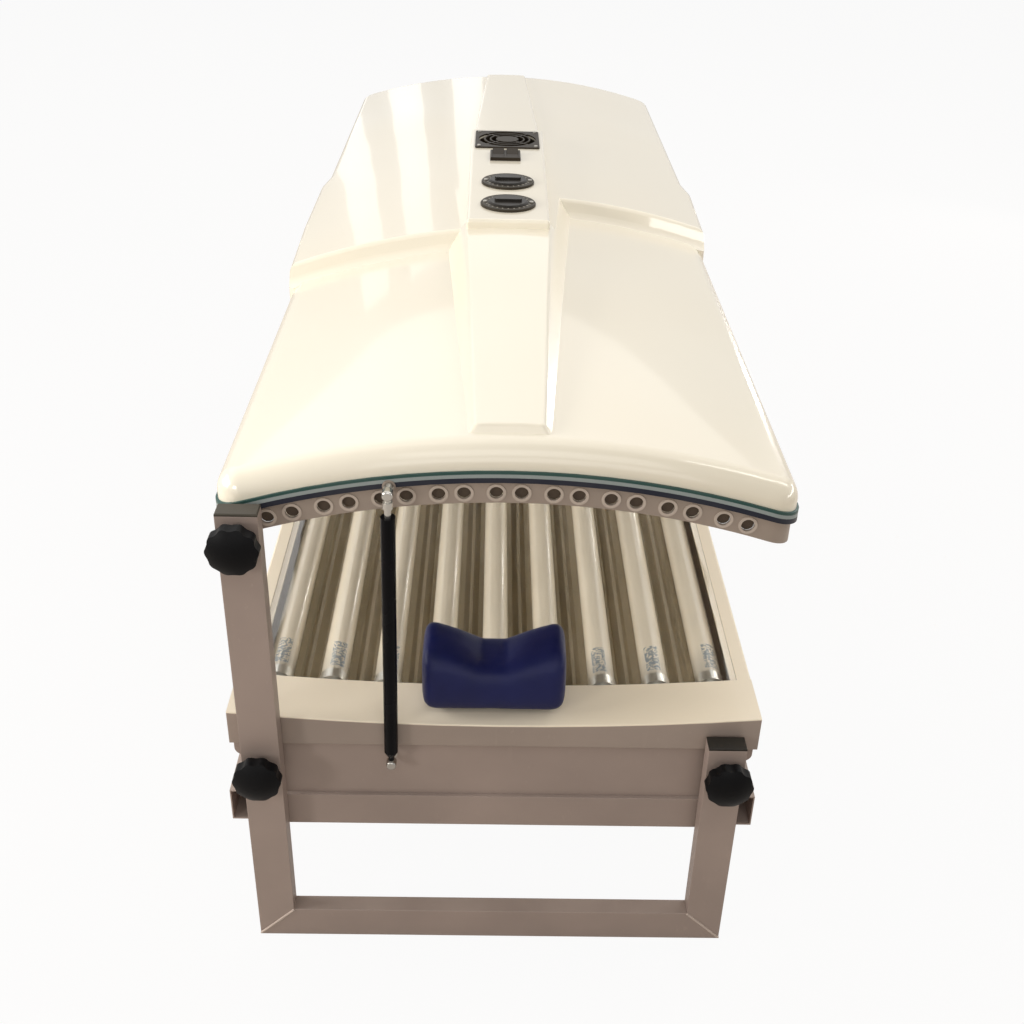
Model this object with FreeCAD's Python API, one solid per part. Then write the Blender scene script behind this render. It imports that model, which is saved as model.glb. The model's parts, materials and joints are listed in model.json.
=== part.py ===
import FreeCAD, Part
import math
import os

# Clamshell tanning bed: a lamp bed between two U-shaped end frames, and an arched lamp
# canopy that swings up about the two tall posts on a pair of gas struts.
# Millimetres. +X is the side that opens, +Y runs from the head end to the foot end, +Z is up.
# The origin is on the floor, in the middle of the footprint.

V = FreeCAD.Vector
os.makedirs("parts", exist_ok=True)

# ---------------------------------------------------------------- driving sizes

# end frames, 50 x 25 steel tube
overall_length = 2015.0      # over the outer faces of the two end frames
frame_width = 658.0
tube_width = 50.0
tube_depth = 25.0
tube_wall = 2.0
tall_post_height = 697.0
short_post_height = 354.0
cap_thickness = 3.5
cap_plug_depth = 12.0
cap_plug_gap = 0.1
cap_chamfer = 1.2

# how far the bed and the canopy stand off the end frames
bed_end_gap = 5.0
canopy_end_gap = 15.0

# bed
bed_half_width = 350.0
bed_over_posts = 29.0        # bed's top edge at the sides, above the short posts
bed_dish = 17.0              # how far the middle of the lying surface is lower
tray_depth = 91.0            # bed's top edge to the tray's floor
tray_sheet = 2.0
tray_bevel = 17.0            # height of the slope where the tray's sides turn in
tray_side_inset = 4.0        # tray's side at the slope, inside the bed's edge
tray_floor_inset = 18.0
tray_top_inset = 2.0
fascia_height = 52.0
fascia_sheet = 3.0
panel_side_inset = 3.5
panel_foot_inset = 6.0       # panel's lower part, inside the end frame's sides
panel_lap = 30.0             # how far the panel reaches up behind the fascia
panel_corner = 12.0
panel_foot_corner = 16.0
panel_setback = 8.5
rail_height = 52.0
rail_width = 30.0
rail_half_width = 360.0
rail_wall = 2.0
end_strip_depth = 84.0
end_strip_thickness = 2.0
end_strip_chamfer = 0.8
side_trim_width = 27.0
side_trim_height = 22.0
side_trim_sheet = 4.0
side_trim_seat = 7.0         # ledge under the sheet's edge
side_trim_edge = 3.0
acrylic_thickness = 4.0
acrylic_lap = 7.5            # how far the sheet runs into each side trim
acrylic_lap_room = 0.5
bearer_depth = 24.0
bearer_setback = 3.0
stool_height = 54.0          # from the side rails' top to the tray's floor
stool_width = 40.0
stool_length = 120.0
stool_sheet = 3.0
stool_from_end = 266.0       # outer stools, from the tray's ends
stool_edge_inset = 2.0       # stool's foot, inside the rail's outer face

# canopy
canopy_shift = 11.0          # canopy middle, right of the frame's middle
canopy_half_width = 350.0
crown_over_pivot = 62.5      # lower edge of the shell at the middle, above the pivots
arch_rise = 58.0             # over half the width
shell_wall = 3.0
front_lift = 46.0            # shell top above its lower edge, head half
raised_lift = 71.0           # the same over the raised foot half
shoulder_drop = 16.0         # raised part's lower edge above the shell's lower edge
edge_roll = 30.0
raised_roll = 14.0
roll_per_rise = 0.6          # most the raised part's roll may take of its height above the rest
raised_overlap = 20.0        # how far each raised half runs past the middle, under the spine
plan_corner = 34.0
riser_slope_deg = 45.0       # of the two risers in front of the raised part
riser_cove = 32.0            # hollow radius along the risers' feet
riser_bite = 1.0             # how deep the hollow would run below the shell's surface
riser_toe = 4.0              # the raised half's hidden front, ahead of the hollow's foot
raise_left_start = 660.0     # from the canopy's head end to the raised part, left side
raise_right_start = 888.0
raise_left_skew = 50.0       # how much further back the left riser is by the spine
raised_proud = 1.0           # raised part in front of the shell's sides and foot end
shoulder_half_width = 362.0
shoulder_swell = 8.0
shoulder_run = 240.0
shoulder_end = 1150.0
shoulder_taper = 5.0         # length over which each millimetre of the shoulder's step spreads
shoulder_front = 16.0        # plan radius of the shoulder's front corner
shoulder_bend = 300.0
shoulder_knee = 40.0
trim_height = 15.0
trim_proud = 3.0
end_plate_sheet = 3.0
end_plate_depth = 30.0       # below the shell's lower edge
end_plate_upstand = 13.0
side_channel_width = 14.0
side_channel_lip = 5.0
channel_wall = 2.0
chassis_inset = 4.0          # chassis inside the shell's outer faces, at the sides
chassis_gap = 0.2            # between the chassis and the shell's lower edge
stud_boss_radius = 8.0
stud_boss_gap = 0.3
stud_boss_proud = 0.5        # in front of the trim
strap_sheet = 2.5
strap_width = 34.0
strap_inset = 6.0
choke_strap_from_middle = 300.0
rear_strap_from_end = 407.5  # from the canopy's foot end

# lamps
lamp_count = 9
lamp_pitch = 68.1
bed_lamp_side_room = 50.0    # from the bed's edge to the outermost lamp's middle
lamp_radius = 19.0
lamp_end_room = 69.0         # from the holders' backs to the canopy's end plates
lamp_cap_length = 22.0
lamp_cap_radius = 19.6
lamp_boss_length = 4.0
lamp_boss_radius = 14.6
lamp_clearance = 5.0         # lamp to acrylic sheet
holder_thickness = 16.0
holder_half_width = 13.0
holder_top = 14.0            # past the lamp's centre
holder_corner = 10.0
holder_gap = 0.5
reflector_sheet = 1.0
bed_reflector_side_gap = 4.5    # to the tray's floor corner
reflector_clearance = 3.0
ridge_height = 17.0
ridge_top_width = 5.0
ridge_foot_width = 22.0

# vents in the canopy's end plates
vent_spacing = 30.0
vent_drop = 16.0
vent_hole_radius = 8.2
vent_ring_radius = 11.5
vent_ring_proud = 1.5

# pivots, knobs and their studs
knob_from_side = 22.5        # from the posts' outer faces
pivot_drop = 32.5            # pivots below the tall posts' tops
bed_knob_drop = 41.0         # bed knobs below the short posts' tops
knob_radius = 31.5
knob_thickness = 24.0
knob_lobes = 10
knob_lobe_depth = 2.2
knob_neck_radius = 13.0
knob_neck = 12.0
knob_gap = 0.4
knob_dome_ratio = 1.75       # dome radius of the knob's face, over its own radius
knob_flat_radius = 4.0       # flat in the middle of the dome
stud_radius = 5.0
stud_clearance = 0.4
stud_reach = 22.0            # past the post's inner face
bush_radius = 12.0
bush_depth = 10.0
bush_wall = 3.0
bush_gap = 0.3

# gas struts
strut_lower_x = 136.0        # left of the frame's middle
strut_lower_rise = 17.0      # above the tray's floor
strut_upper_x = 130.0
strut_upper_drop = 7.0       # below the shell's lower edge at the middle
strut_cylinder_radius = 9.0
strut_rod_radius = 4.0
strut_bore_radius = 4.3
strut_tail = 14.0            # lower ball centre to cylinder
strut_neck = 30.0            # cylinder to upper ball centre
strut_bore_floor = 66.4      # from the cylinder's lower end to the bore's end
strut_rod_room = 60.0        # from the rod's inner end to the bore's end
strut_stand = 12.5           # strut axis in front of the bed's end face
ball_radius = 5.0
socket_radius = 6.8
socket_wall_gap = 0.25
ball_shank_radius = 3.5
strut_taper = 8.0
strut_taper_radius = 5.0
cup_depth = 6.5
cup_mouth = 6.0
cup_mouth_gap = 1.0
cup_edge = 3.0
collar_radius = 6.0
collar_length = 9.0
collar_gap = 3.0
stud_flange = 2.5
stud_nut = 5.0
stud_nut_radius = 6.5
open_pivot_gap = 0.5

# console on the canopy
console_start = 701.0        # from the canopy's head end
console_length = 600.0
console_front_half = 68.0
console_rear_half = 72.0
console_rise = 93.0          # above the shell's lower edge at the middle
console_edge = 5.0
console_soft = 4.0
spine_start = 42.0
spine_front_half = 41.0
spine_rise = 9.0
spine_climb = 26.0           # how much higher the spine's top gets by the console
spine_edge = 6.0
spine_corner = 9.0
spine_lap = 30.0             # how far the spine and the rib run into the console
spine_lean = 0.8             # how far the spine's sides lean out over each millimetre down
spine_root = 10.0            # how deep the spine's block reaches below the shell's surface
spine_tail = 70.0            # how far its foot runs on past the start of the right riser
rib_front_half = 70.0
rib_rear_half = 47.0
rib_from_end = 26.0          # rib's end, from the canopy's foot end
fan_centre = 1212.0
fan_plate = 125.0
fan_bore_radius = 56.0
fan_depth = 34.0
fan_frame = 3.0
fan_seat = 5.0
fan_spoke = 5.0
fan_spokes = 3
fan_corner = 5.0
guard_thickness = 3.0
guard_ring_width = 3.0
guard_ring_pitch = 11.0
guard_hub_radius = 22.0
guard_ribs = 4
rotor_radius = 53.0
rotor_hub_radius = 21.0
rotor_blades = 7
rotor_depth = 22.0
rotor_gap = 1.0
rotor_spindle_radius = 3.0
spindle_gap = 0.2
blade_thickness = 2.0
blade_pitch_deg = 38.0
switch_shift = -4.0          # towards the hinge side
switch_centre = 1089.0
switch_width = 57.0
switch_depth = 58.0
switch_bezel_height = 6.0
switch_rim = 4.0
switch_body_inset = 3.3
fitting_gap = 0.3            # round the fittings let into the console
switch_cavity = 16.0
switch_floor = 2.0
switch_edge = 2.0
rocker_gap = 1.0
rocker_side_gap = 0.4
rocker_pivot_rise = 1.0
rocker_nose = 4.5
rocker_keel = 5.0
rocker_tilt_deg = 7.0
rocker_height = 7.0
dial_centres = (787.0, 917.0)
dial_radius = 46.5
dial_bezel_height = 4.0
dial_chamfer = 1.5
dial_body_radius = 27.0
dial_body_depth = 24.0
knob_skirt_radius = 33.0
knob_skirt_height = 2.5
knob_skirt_taper = 2.5
grip_length = 46.0
grip_width = 13.0
grip_height = 4.0
grip_corner = 4.5
dial_shaft_radius = 3.0
dial_shaft_depth = 10.0
dial_shaft_room = 4.0
timer_knob_gap = 0.5
screw_head_radius = 3.6
screw_head_height = 2.2
screw_head_chamfer = 0.8
screw_inset = 7.5
screw_shank_radius = 1.8
screw_shank_length = 9.0
screw_gap = 0.1

# chokes
choke_width = 40.0
choke_height = 30.0
choke_length = 150.0
canopy_choke_length = 200.0
choke_flange = 14.0
choke_flange_inset = 4.0
choke_flange_thickness = 2.5
bed_choke_from_end = 406.0   # middles of the bed's chokes, from the tray's foot end

# neck pillow
pillow_half_width = 94.0
pillow_depth = 88.0
pillow_height = 84.0
pillow_scoop = 27.0
pillow_scoop_half = 68.0
pillow_slope = 6.0
pillow_from_end = 24.0
pillow_edge = 16.0
pillow_shift = -2.0
pillow_rest_gap = 1.5

# mains gland
gland_radius = 11.0
gland_bore_radius = 4.0
gland_length = 22.0
gland_nut_radius = 13.0
gland_nut_length = 7.0
gland_inside = 9.0
gland_x = 180.0
gland_rise = 22.0            # above the end panel's lower edge

# ---------------------------------------------------------------- derived places

half_length = overall_length / 2.0
frame_half = frame_width / 2.0
post_inner = half_length - tube_depth
bed_end = post_inner - bed_end_gap
canopy_end = post_inner - canopy_end_gap
panel_face = bed_end - panel_setback
tray_end = panel_face - fascia_sheet
bed_top = short_post_height + bed_over_posts
bed_knob_height = short_post_height - bed_knob_drop
tray_floor = bed_top - tray_depth
tray_turn = tray_floor + tray_bevel
fascia_bottom = bed_top - fascia_height
pivot_height = tall_post_height - pivot_drop
arch_crown = pivot_height + crown_over_pivot
console_top = arch_crown + console_rise
strut_lower_z = tray_floor + strut_lower_rise
strut_upper_z = arch_crown - strut_upper_drop
# the frame's middle, so that rail and canopy shoulder reach equally far
frame_x = (rail_half_width - canopy_shift - shoulder_half_width) / 2.0
arch_x = frame_x + canopy_shift
arch_radius = (canopy_half_width ** 2 + arch_rise ** 2) / (2.0 * arch_rise)
arch_z = arch_crown - arch_radius
dish_radius = (bed_half_width ** 2 + bed_dish ** 2) / (2.0 * bed_dish)
pivot_x = frame_x - frame_half + knob_from_side
rail_top = tray_floor - stool_height
rail_bottom = rail_top - rail_height
strut_y = bed_end + strut_stand
lamp_half = canopy_end - lamp_end_room - holder_thickness - holder_gap
bed_lamp_pitch = (bed_half_width - bed_lamp_side_room) / ((lamp_count - 1) / 2.0)
bed_reflector_half_width = bed_half_width - tray_floor_inset - tray_sheet - bed_reflector_side_gap
canopy_length = 2.0 * canopy_end
plate_y = canopy_end - shell_wall
bush_shank_radius = stud_radius + bush_wall


def from_head(distance):
    """Y of a place measured from the canopy's head end."""
    return distance - canopy_end


def console_point(distance, x_offset=0.0, height=0.0):
    """A point on the console's top, by its distance from the canopy's head end."""
    return V(arch_x + x_offset, from_head(distance), console_top + height)


# ---------------------------------------------------------------- helpers

past = 1.0                   # how far a cutting shape reaches beyond what it cuts
near = 0.01                  # within this distance, a point lies on a face


def save(name, *solids):
    """Write one node, as one solid or as a group of separate ones."""
    shape = solids[0] if len(solids) == 1 else Part.makeCompound(list(solids))
    for solid in solids:
        if not solid.isValid() or solid.Volume <= 0.0:
            raise ValueError("bad solid in " + name)
    shape.exportStep("parts/" + name + ".step")


def box(x0, x1, y0, y1, z0, z1):
    return Part.makeBox(x1 - x0, y1 - y0, z1 - z0, V(x0, y0, z0))


def rod_y(radius, x, z, y0, y1):
    low, high = min(y0, y1), max(y0, y1)
    return Part.makeCylinder(radius, high - low, V(x, low, z), V(0, 1, 0))


def rod_z(radius, x, y, z0, z1):
    return Part.makeCylinder(radius, z1 - z0, V(x, y, z0), V(0, 0, 1))


def at_other_end(shape):
    """The same piece at the foot end: a mirror image across the middle."""
    return shape.mirror(V(0, 0, 0), V(0, 1, 0))


def polygon(points):
    return Part.Face(Part.makePolygon(points + points[:1]))


def prism_y(profile, y0, y1):
    """Extrude a list of (x, z) points along Y."""
    face = polygon([V(x, y0, z) for x, z in profile])
    return face.extrude(V(0, y1 - y0, 0))


def rounded_wire(points, radii):
    """A closed wire through points, each corner rounded by its own radius."""
    edges = []
    starts = []
    count = len(points)
    for index in range(count):
        corner = points[index]
        before = (points[index - 1] - corner).normalize()
        after = (points[(index + 1) % count] - corner).normalize()
        radius = radii[index]
        if radius <= 0.0:
            starts.append((corner, corner))
            continue
        half_angle = before.getAngle(after) / 2.0
        reach = radius / math.tan(half_angle)
        middle = (before + after).normalize()
        centre = corner + middle * (radius / math.sin(half_angle))
        first = corner + before * reach
        last = corner + after * reach
        edges.append(Part.Arc(first, centre - middle * radius, last).toShape())
        starts.append((first, last))
    for index in range(count):
        leave = starts[index][1]
        arrive = starts[(index + 1) % count][0]
        if leave.distanceToPoint(arrive) > 1e-6:
            edges.append(Part.LineSegment(leave, arrive).toShape())
    return Part.Wire(Part.__sortEdges__(edges))


def arch(lift):
    """Height of the canopy's arch as a function of x, lifted along its radius."""
    radius = arch_radius + lift
    return lambda x: arch_z + math.sqrt(radius ** 2 - (x - arch_x) ** 2)


def dish(lift):
    """Height of the bed's dished surface as a function of x, lifted towards its centre."""
    radius = dish_radius - lift
    centre = bed_top - bed_dish + dish_radius
    return lambda x: centre - math.sqrt(radius ** 2 - (x - frame_x) ** 2)


def level(height):
    return lambda x: height


def band(x0, x1, low, high, y0, y1):
    """A curved strip between two heights, extruded along Y."""
    middle = (x0 + x1) / 2.0
    edges = []
    for height, first, last in ((low, x0, x1), (high, x1, x0)):
        start = V(first, y0, height(first))
        centre = V(middle, y0, height(middle))
        end = V(last, y0, height(last))
        if abs(centre.z - (start.z + end.z) / 2.0) < 1e-6:
            edges.append(Part.LineSegment(start, end).toShape())
        else:
            edges.append(Part.Arc(start, centre, end).toShape())
    right = Part.LineSegment(V(x1, y0, low(x1)), V(x1, y0, high(x1))).toShape()
    left = Part.LineSegment(V(x0, y0, high(x0)), V(x0, y0, low(x0))).toShape()
    face = Part.Face(Part.Wire([edges[0], right, edges[1], left]))
    return face.extrude(V(0, y1 - y0, 0))


def edges_where(shape, test):
    """The edges whose middle point and two ends all pass a test."""
    chosen = []
    for edge in shape.Edges:
        middle = edge.valueAt((edge.FirstParameter + edge.LastParameter) / 2.0)
        points = [middle] + [vertex.Point for vertex in edge.Vertexes]
        if all(test(point) for point in points):
            chosen.append(edge)
    return chosen


# ---------------------------------------------------------------- end frames

def tube_post(x0, height):
    """One upright of the head-end frame, mitred into the foot tube, with its cross holes."""
    x1 = x0 + tube_width
    outer = box(x0, x1, -half_length, -post_inner, 0, height)
    inner = box(x0 + tube_wall, x1 - tube_wall,
                -half_length + tube_wall, -post_inner - tube_wall, -past, height + past)
    post = outer.cut(inner)
    left = x0 < frame_x
    outside = x0 if left else x1
    inside = x1 if left else x0
    mitre = prism_y([(outside, 0), (inside, tube_width), (inside, -past), (outside, -past)],
                    -half_length - past, -post_inner + past)
    return post.cut(mitre)


def foot_tube():
    """The tube on the floor, mitred at both ends."""
    x0 = frame_x - frame_half
    x1 = frame_x + frame_half
    outer = prism_y([(x0, 0), (x1, 0), (x1 - tube_width, tube_width), (x0 + tube_width, tube_width)],
                    -half_length, -post_inner)
    inner = box(x0 - past, x1 + past, -half_length + tube_wall, -post_inner - tube_wall,
                tube_wall, tube_width - tube_wall)
    return outer.cut(inner)


def stud_hole(x, z):
    return rod_y(stud_radius + stud_clearance, x, z, -half_length - past, -post_inner + past)


def post_cap(x0, height):
    """A plastic lid with a plug that sits in the tube."""
    lid = box(x0, x0 + tube_width, -half_length, -post_inner, height, height + cap_thickness)
    lid = lid.makeChamfer(cap_chamfer, edges_where(lid, lambda p: p.z > height + cap_thickness - near))
    inset = tube_wall + cap_plug_gap
    plug = box(x0 + inset, x0 + tube_width - inset, -half_length + inset, -post_inner - inset,
               height - cap_plug_depth, height)
    return lid.fuse(plug)


left_post_x = frame_x - frame_half
right_post_x = frame_x + frame_half - tube_width
left_knob_x = left_post_x + knob_from_side
right_knob_x = right_post_x + tube_width - knob_from_side

tall_post = tube_post(left_post_x, tall_post_height)
tall_post = tall_post.cut(stud_hole(pivot_x, pivot_height))
tall_post = tall_post.cut(stud_hole(left_knob_x, bed_knob_height))
short_post = tube_post(right_post_x, short_post_height)
short_post = short_post.cut(stud_hole(right_knob_x, bed_knob_height))
post_caps = [post_cap(left_post_x, tall_post_height), post_cap(right_post_x, short_post_height)]

save("head_tall_post", tall_post)
save("head_short_post", short_post)
save("head_foot_tube", foot_tube())
save("foot_tall_post", at_other_end(tall_post))
save("foot_short_post", at_other_end(short_post))
save("foot_foot_tube", at_other_end(foot_tube()))
save("post_caps", *(post_caps + [at_other_end(cap) for cap in post_caps]))


# ---------------------------------------------------------------- knobs

def lobed_disc(x, z, y0, y1):
    """The knob's grip: a ring of shallow lobes, drawn as alternating arcs."""
    points = []
    steps = knob_lobes * 4
    for index in range(steps):
        angle = 2.0 * math.pi * index / steps
        radius = knob_radius - (knob_lobe_depth if index % 4 == 2 else 0.0)
        if index % 2:
            radius = knob_radius - knob_lobe_depth / 2.0
        points.append(V(x + radius * math.cos(angle), y0, z + radius * math.sin(angle)))
    edges = []
    for index in range(1, steps, 2):
        last = points[(index + 2) % steps]
        edges.append(Part.Arc(points[index], points[(index + 1) % steps], last).toShape())
    return Part.Face(Part.Wire(edges)).extrude(V(0, y1 - y0, 0))


def clamp_knob(x, z):
    """A hand knob with its moulded-in stud, at the head end."""
    face = -half_length - knob_gap
    back = face - knob_neck
    front = back - knob_thickness
    grip = lobed_disc(x, z, front, back)
    dome_radius = knob_radius * knob_dome_ratio
    dome_depth = math.sqrt(dome_radius ** 2 - knob_flat_radius ** 2)
    grip = grip.common(Part.makeSphere(dome_radius, V(x, front + dome_depth, z)))
    neck = rod_y(knob_neck_radius, x, z, back - past, face)
    stud = rod_y(stud_radius, x, z, back, -post_inner + stud_reach)
    return grip.fuse(neck).fuse(stud)


pivot_knob = clamp_knob(pivot_x, pivot_height)
left_knob = clamp_knob(left_knob_x, bed_knob_height)
right_knob = clamp_knob(right_knob_x, bed_knob_height)
save("head_pivot_knob", pivot_knob)
save("head_left_knob", left_knob)
save("head_right_knob", right_knob)
save("foot_pivot_knob", at_other_end(pivot_knob))
save("foot_left_knob", at_other_end(left_knob))
save("foot_right_knob", at_other_end(right_knob))


def bush(x, z, seat):
    """A spacer bush between a post and the sheet that its stud goes into."""
    barrel = rod_y(bush_radius, x, z, -post_inner + bush_gap, seat)
    shank = rod_y(bush_shank_radius, x, z, seat, seat + bush_depth)
    bore = rod_y(stud_radius + stud_clearance, x, z, -half_length, seat + bush_depth + past)
    return barrel.fuse(shank).cut(bore)


bed_bushes = [bush(left_knob_x, bed_knob_height, -panel_face),
              bush(right_knob_x, bed_knob_height, -panel_face)]
save("bed_bushes", *(bed_bushes + [at_other_end(item) for item in bed_bushes]))
pivot_bush = bush(pivot_x, pivot_height, -plate_y)
save("pivot_bushes", pivot_bush, at_other_end(pivot_bush))


# ---------------------------------------------------------------- bed

bed_left = frame_x - bed_half_width
bed_right = frame_x + bed_half_width


def bush_hole(x, z, seat):
    """Clearance for a bush's shank in the sheet behind it."""
    return rod_y(bush_shank_radius, x, z, seat - bush_depth, seat + 2.0 * bush_depth)


def bed_rail(side):
    """A lower side rail of box section."""
    outer_x = frame_x + side * rail_half_width
    inner_x = outer_x - side * rail_width
    x0, x1 = min(outer_x, inner_x), max(outer_x, inner_x)
    reach = panel_face
    outer = box(x0, x1, -reach, reach, rail_bottom, rail_bottom + rail_height)
    inner = box(x0 + rail_wall, x1 - rail_wall, -reach - past, reach + past,
                rail_bottom + rail_wall, rail_bottom + rail_height - rail_wall)
    return outer.cut(inner)


save("bed_rails", bed_rail(-1), bed_rail(1))

bearer_front = bed_end - bearer_setback


def cross_member(y0, y1):
    """A box-section bearer between the two side rails."""
    reach = rail_half_width - rail_width
    x0, x1 = frame_x - reach, frame_x + reach
    outer = box(x0, x1, y0, y1, rail_bottom, rail_bottom + rail_height)
    inner = box(x0 - past, x1 + past, y0 + rail_wall, y1 - rail_wall,
                rail_bottom + rail_wall, rail_bottom + rail_height - rail_wall)
    return outer.cut(inner)


end_bearer = cross_member(-bearer_front, -bearer_front + bearer_depth)
middle_bearer = cross_member(-bearer_depth / 2.0, bearer_depth / 2.0)
save("bed_cross_members", end_bearer, at_other_end(end_bearer), middle_bearer)


def tray_outline(inset, top):
    """The tray's cross-section, open at the top."""
    right = [(bed_half_width - tray_top_inset - inset, top),
             (bed_half_width - tray_side_inset - inset, tray_turn),
             (bed_half_width - tray_floor_inset - inset, tray_floor + inset)]
    left = [(-x, z) for x, z in reversed(right)]
    return [(frame_x + x, z) for x, z in right + left]


tray = prism_y(tray_outline(0.0, bed_top - side_trim_height), -tray_end, tray_end)
tray = tray.cut(prism_y(tray_outline(tray_sheet, bed_top), -tray_end - past, tray_end + past))
save("bed_tray", tray)


def tray_stool(side, y):
    """A folded bracket from a side rail up to the tray's floor."""
    y0, y1 = y - stool_length / 2.0, y + stool_length / 2.0

    def across(first, last, z0, z1):
        x0, x1 = sorted((frame_x + side * first, frame_x + side * last))
        return box(x0, x1, y0, y1, z0, z1)

    inner = rail_half_width - rail_width - stool_width
    outer = rail_half_width - stool_edge_inset
    seat = across(inner, inner + stool_width, tray_floor - stool_sheet, tray_floor)
    web = across(inner + stool_width - stool_sheet, inner + stool_width, rail_top, tray_floor)
    shoe = across(inner + stool_width - stool_sheet, outer, rail_top, rail_top + stool_sheet)
    return seat.fuse(web).fuse(shoe).removeSplitter()


outer_stool_y = tray_end - stool_from_end
save("tray_stools", *[tray_stool(side, y) for y in (-outer_stool_y, 0.0, outer_stool_y) for side in (-1, 1)])


def end_panel():
    """The bed's end wall, set back behind the fascia, with rounded lower corners."""
    high = bed_half_width - panel_side_inset
    low = frame_half - panel_foot_inset
    right = [(high, tray_turn + panel_lap), (high, tray_turn), (low, tray_floor), (low, rail_top)]
    left = [(-x, z) for x, z in reversed(right)]
    radii = [0.0, panel_corner, panel_corner, panel_foot_corner]
    points = [V(frame_x + x, -panel_face, z) for x, z in right + left]
    panel = Part.Face(rounded_wire(points, radii + radii[::-1])).extrude(V(0, fascia_sheet, 0))
    for x in (left_knob_x, right_knob_x):
        panel = panel.cut(bush_hole(x, bed_knob_height, -panel_face))
    stud_x = frame_x - strut_lower_x
    return panel.cut(rod_y(ball_shank_radius, stud_x, strut_lower_z, -half_length, -tray_end))


gland_place = (frame_x + gland_x, rail_top + gland_rise)
save("head_end_panel", end_panel())
save("foot_end_panel", at_other_end(end_panel()).cut(rod_y(gland_radius, *gland_place, bed_end, -bed_end)))


def end_fascia():
    """The proud band across the bed's end, folded back to the panel along three edges."""
    strip_low = dish(-end_strip_thickness)
    outer = band(bed_left, bed_right, level(fascia_bottom), strip_low, -bed_end, -panel_face)
    hollow = band(bed_left + fascia_sheet, bed_right - fascia_sheet, level(fascia_bottom + fascia_sheet),
                  level(bed_top), -bed_end + fascia_sheet, -panel_face + past)
    return outer.cut(hollow)


fascia = end_fascia()
save("bed_end_fascias", fascia, at_other_end(fascia))


def end_strip():
    """The pale strip across the end of the lying surface, with a lip over the fascia."""
    low = dish(-end_strip_thickness)
    top = dish(0.0)
    strip = band(bed_left, bed_right, low, top, -bed_end, -bed_end + end_strip_depth)
    front_top = edges_where(strip, lambda p: abs(p.y + bed_end) < near and abs(p.z - top(p.x)) < near)
    return strip.makeChamfer(end_strip_chamfer, front_top)


strip = end_strip()
save("bed_end_strips", strip, at_other_end(strip))

strip_inner = bed_end - end_strip_depth


def side_trim(side):
    """The pale moulding down each side of the lying surface."""
    outer = frame_x + side * bed_half_width
    inner = outer - side * side_trim_width
    x0, x1 = sorted((outer, inner))
    trim = band(x0, x1, level(bed_top - side_trim_height), dish(0.0), -strip_inner, strip_inner)
    r0, r1 = sorted((inner - side, inner + side * (acrylic_lap + acrylic_lap_room)))
    rebate = band(r0, r1, dish(-acrylic_thickness), level(bed_top + 1.0), -half_length, half_length)
    h0, h1 = sorted((inner - side, outer - side * side_trim_sheet))
    hollow = box(h0, h1, -half_length, half_length, 0, bed_top - acrylic_thickness - side_trim_seat)
    trim = trim.cut(rebate).cut(hollow)
    outer_top = edges_where(trim, lambda p: abs(p.x - outer) < near and p.z > bed_top - near)
    return trim.makeFillet(side_trim_edge, outer_top)


save("bed_side_trims", side_trim(-1), side_trim(1))

sheet_half = bed_half_width - side_trim_width + acrylic_lap
bed_acrylic = band(frame_x - sheet_half, frame_x + sheet_half, dish(-acrylic_thickness), dish(0.0),
                   -strip_inner, strip_inner)
save("bed_acrylic", bed_acrylic)


# ---------------------------------------------------------------- lamps

def in_row(pitch):
    return [(index - (lamp_count - 1) / 2.0) * pitch for index in range(lamp_count)]


def lamp_tube(x, z):
    reach = lamp_half - lamp_cap_length
    return rod_y(lamp_radius, x, z, -reach, reach)


def lamp_cap(x, z):
    """A pressed cap: a short drum with a smaller boss at its face."""
    shoulder = -lamp_half + lamp_boss_length
    drum = rod_y(lamp_cap_radius, x, z, -lamp_half + lamp_cap_length, shoulder)
    return drum.fuse(rod_y(lamp_boss_radius, x, z, shoulder, -lamp_half))


def lamp_holder(x, z, foot_z):
    """A push-in lamp holder, from its foot to past the lamp's centre."""
    y0 = -lamp_half - holder_gap - holder_thickness
    y1 = -lamp_half - holder_gap
    x0, x1 = x - holder_half_width, x + holder_half_width
    top = z + holder_top if foot_z < z else z - holder_top
    points = [V(x0, y0, foot_z), V(x1, y0, foot_z), V(x1, y0, top), V(x0, y0, top)]
    wire = rounded_wire(points, [0.0, 0.0, holder_corner, holder_corner])
    return Part.Face(wire).extrude(V(0, y1 - y0, 0))


def reflector_profile(surface, pitch_points, foot_level, peak_level):
    """Zig-zag line of ridges between lamps, as (x, z) points."""
    points = []
    for place in pitch_points:
        points += [surface(place - ridge_foot_width / 2, foot_level),
                   surface(place - ridge_top_width / 2, peak_level),
                   surface(place + ridge_top_width / 2, peak_level),
                   surface(place + ridge_foot_width / 2, foot_level)]
    return points


def reflector(surface, middle_x, foot_z, pitch, half_width):
    """Folded sheet with one gull-wing ridge between each pair of lamps, and a leg down each side."""
    ridges = [(index - lamp_count / 2.0) * pitch for index in range(1, lamp_count)]
    sides = []
    for inset in (0.0, reflector_sheet):
        span = half_width - inset
        line = [surface(-span, -inset)]
        line += reflector_profile(surface, ridges, -inset, ridge_height - inset)
        line.append(surface(span, -inset))
        if foot_z is not None:
            line = [(middle_x - span, foot_z)] + line + [(middle_x + span, foot_z)]
        sides.append(line)
    reach = lamp_half - lamp_cap_length
    return prism_y(sides[0] + sides[1][::-1], -reach, reach)


# bed lamps hang just under the acrylic sheet and follow its dish
bed_lamp_lift = -(acrylic_thickness + lamp_clearance + lamp_radius)
bed_reflector_lift = bed_lamp_lift - lamp_radius - reflector_clearance
bed_lamps = [(frame_x + offset, dish(bed_lamp_lift)(frame_x + offset)) for offset in in_row(bed_lamp_pitch)]
holder_foot = tray_floor + tray_sheet


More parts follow.
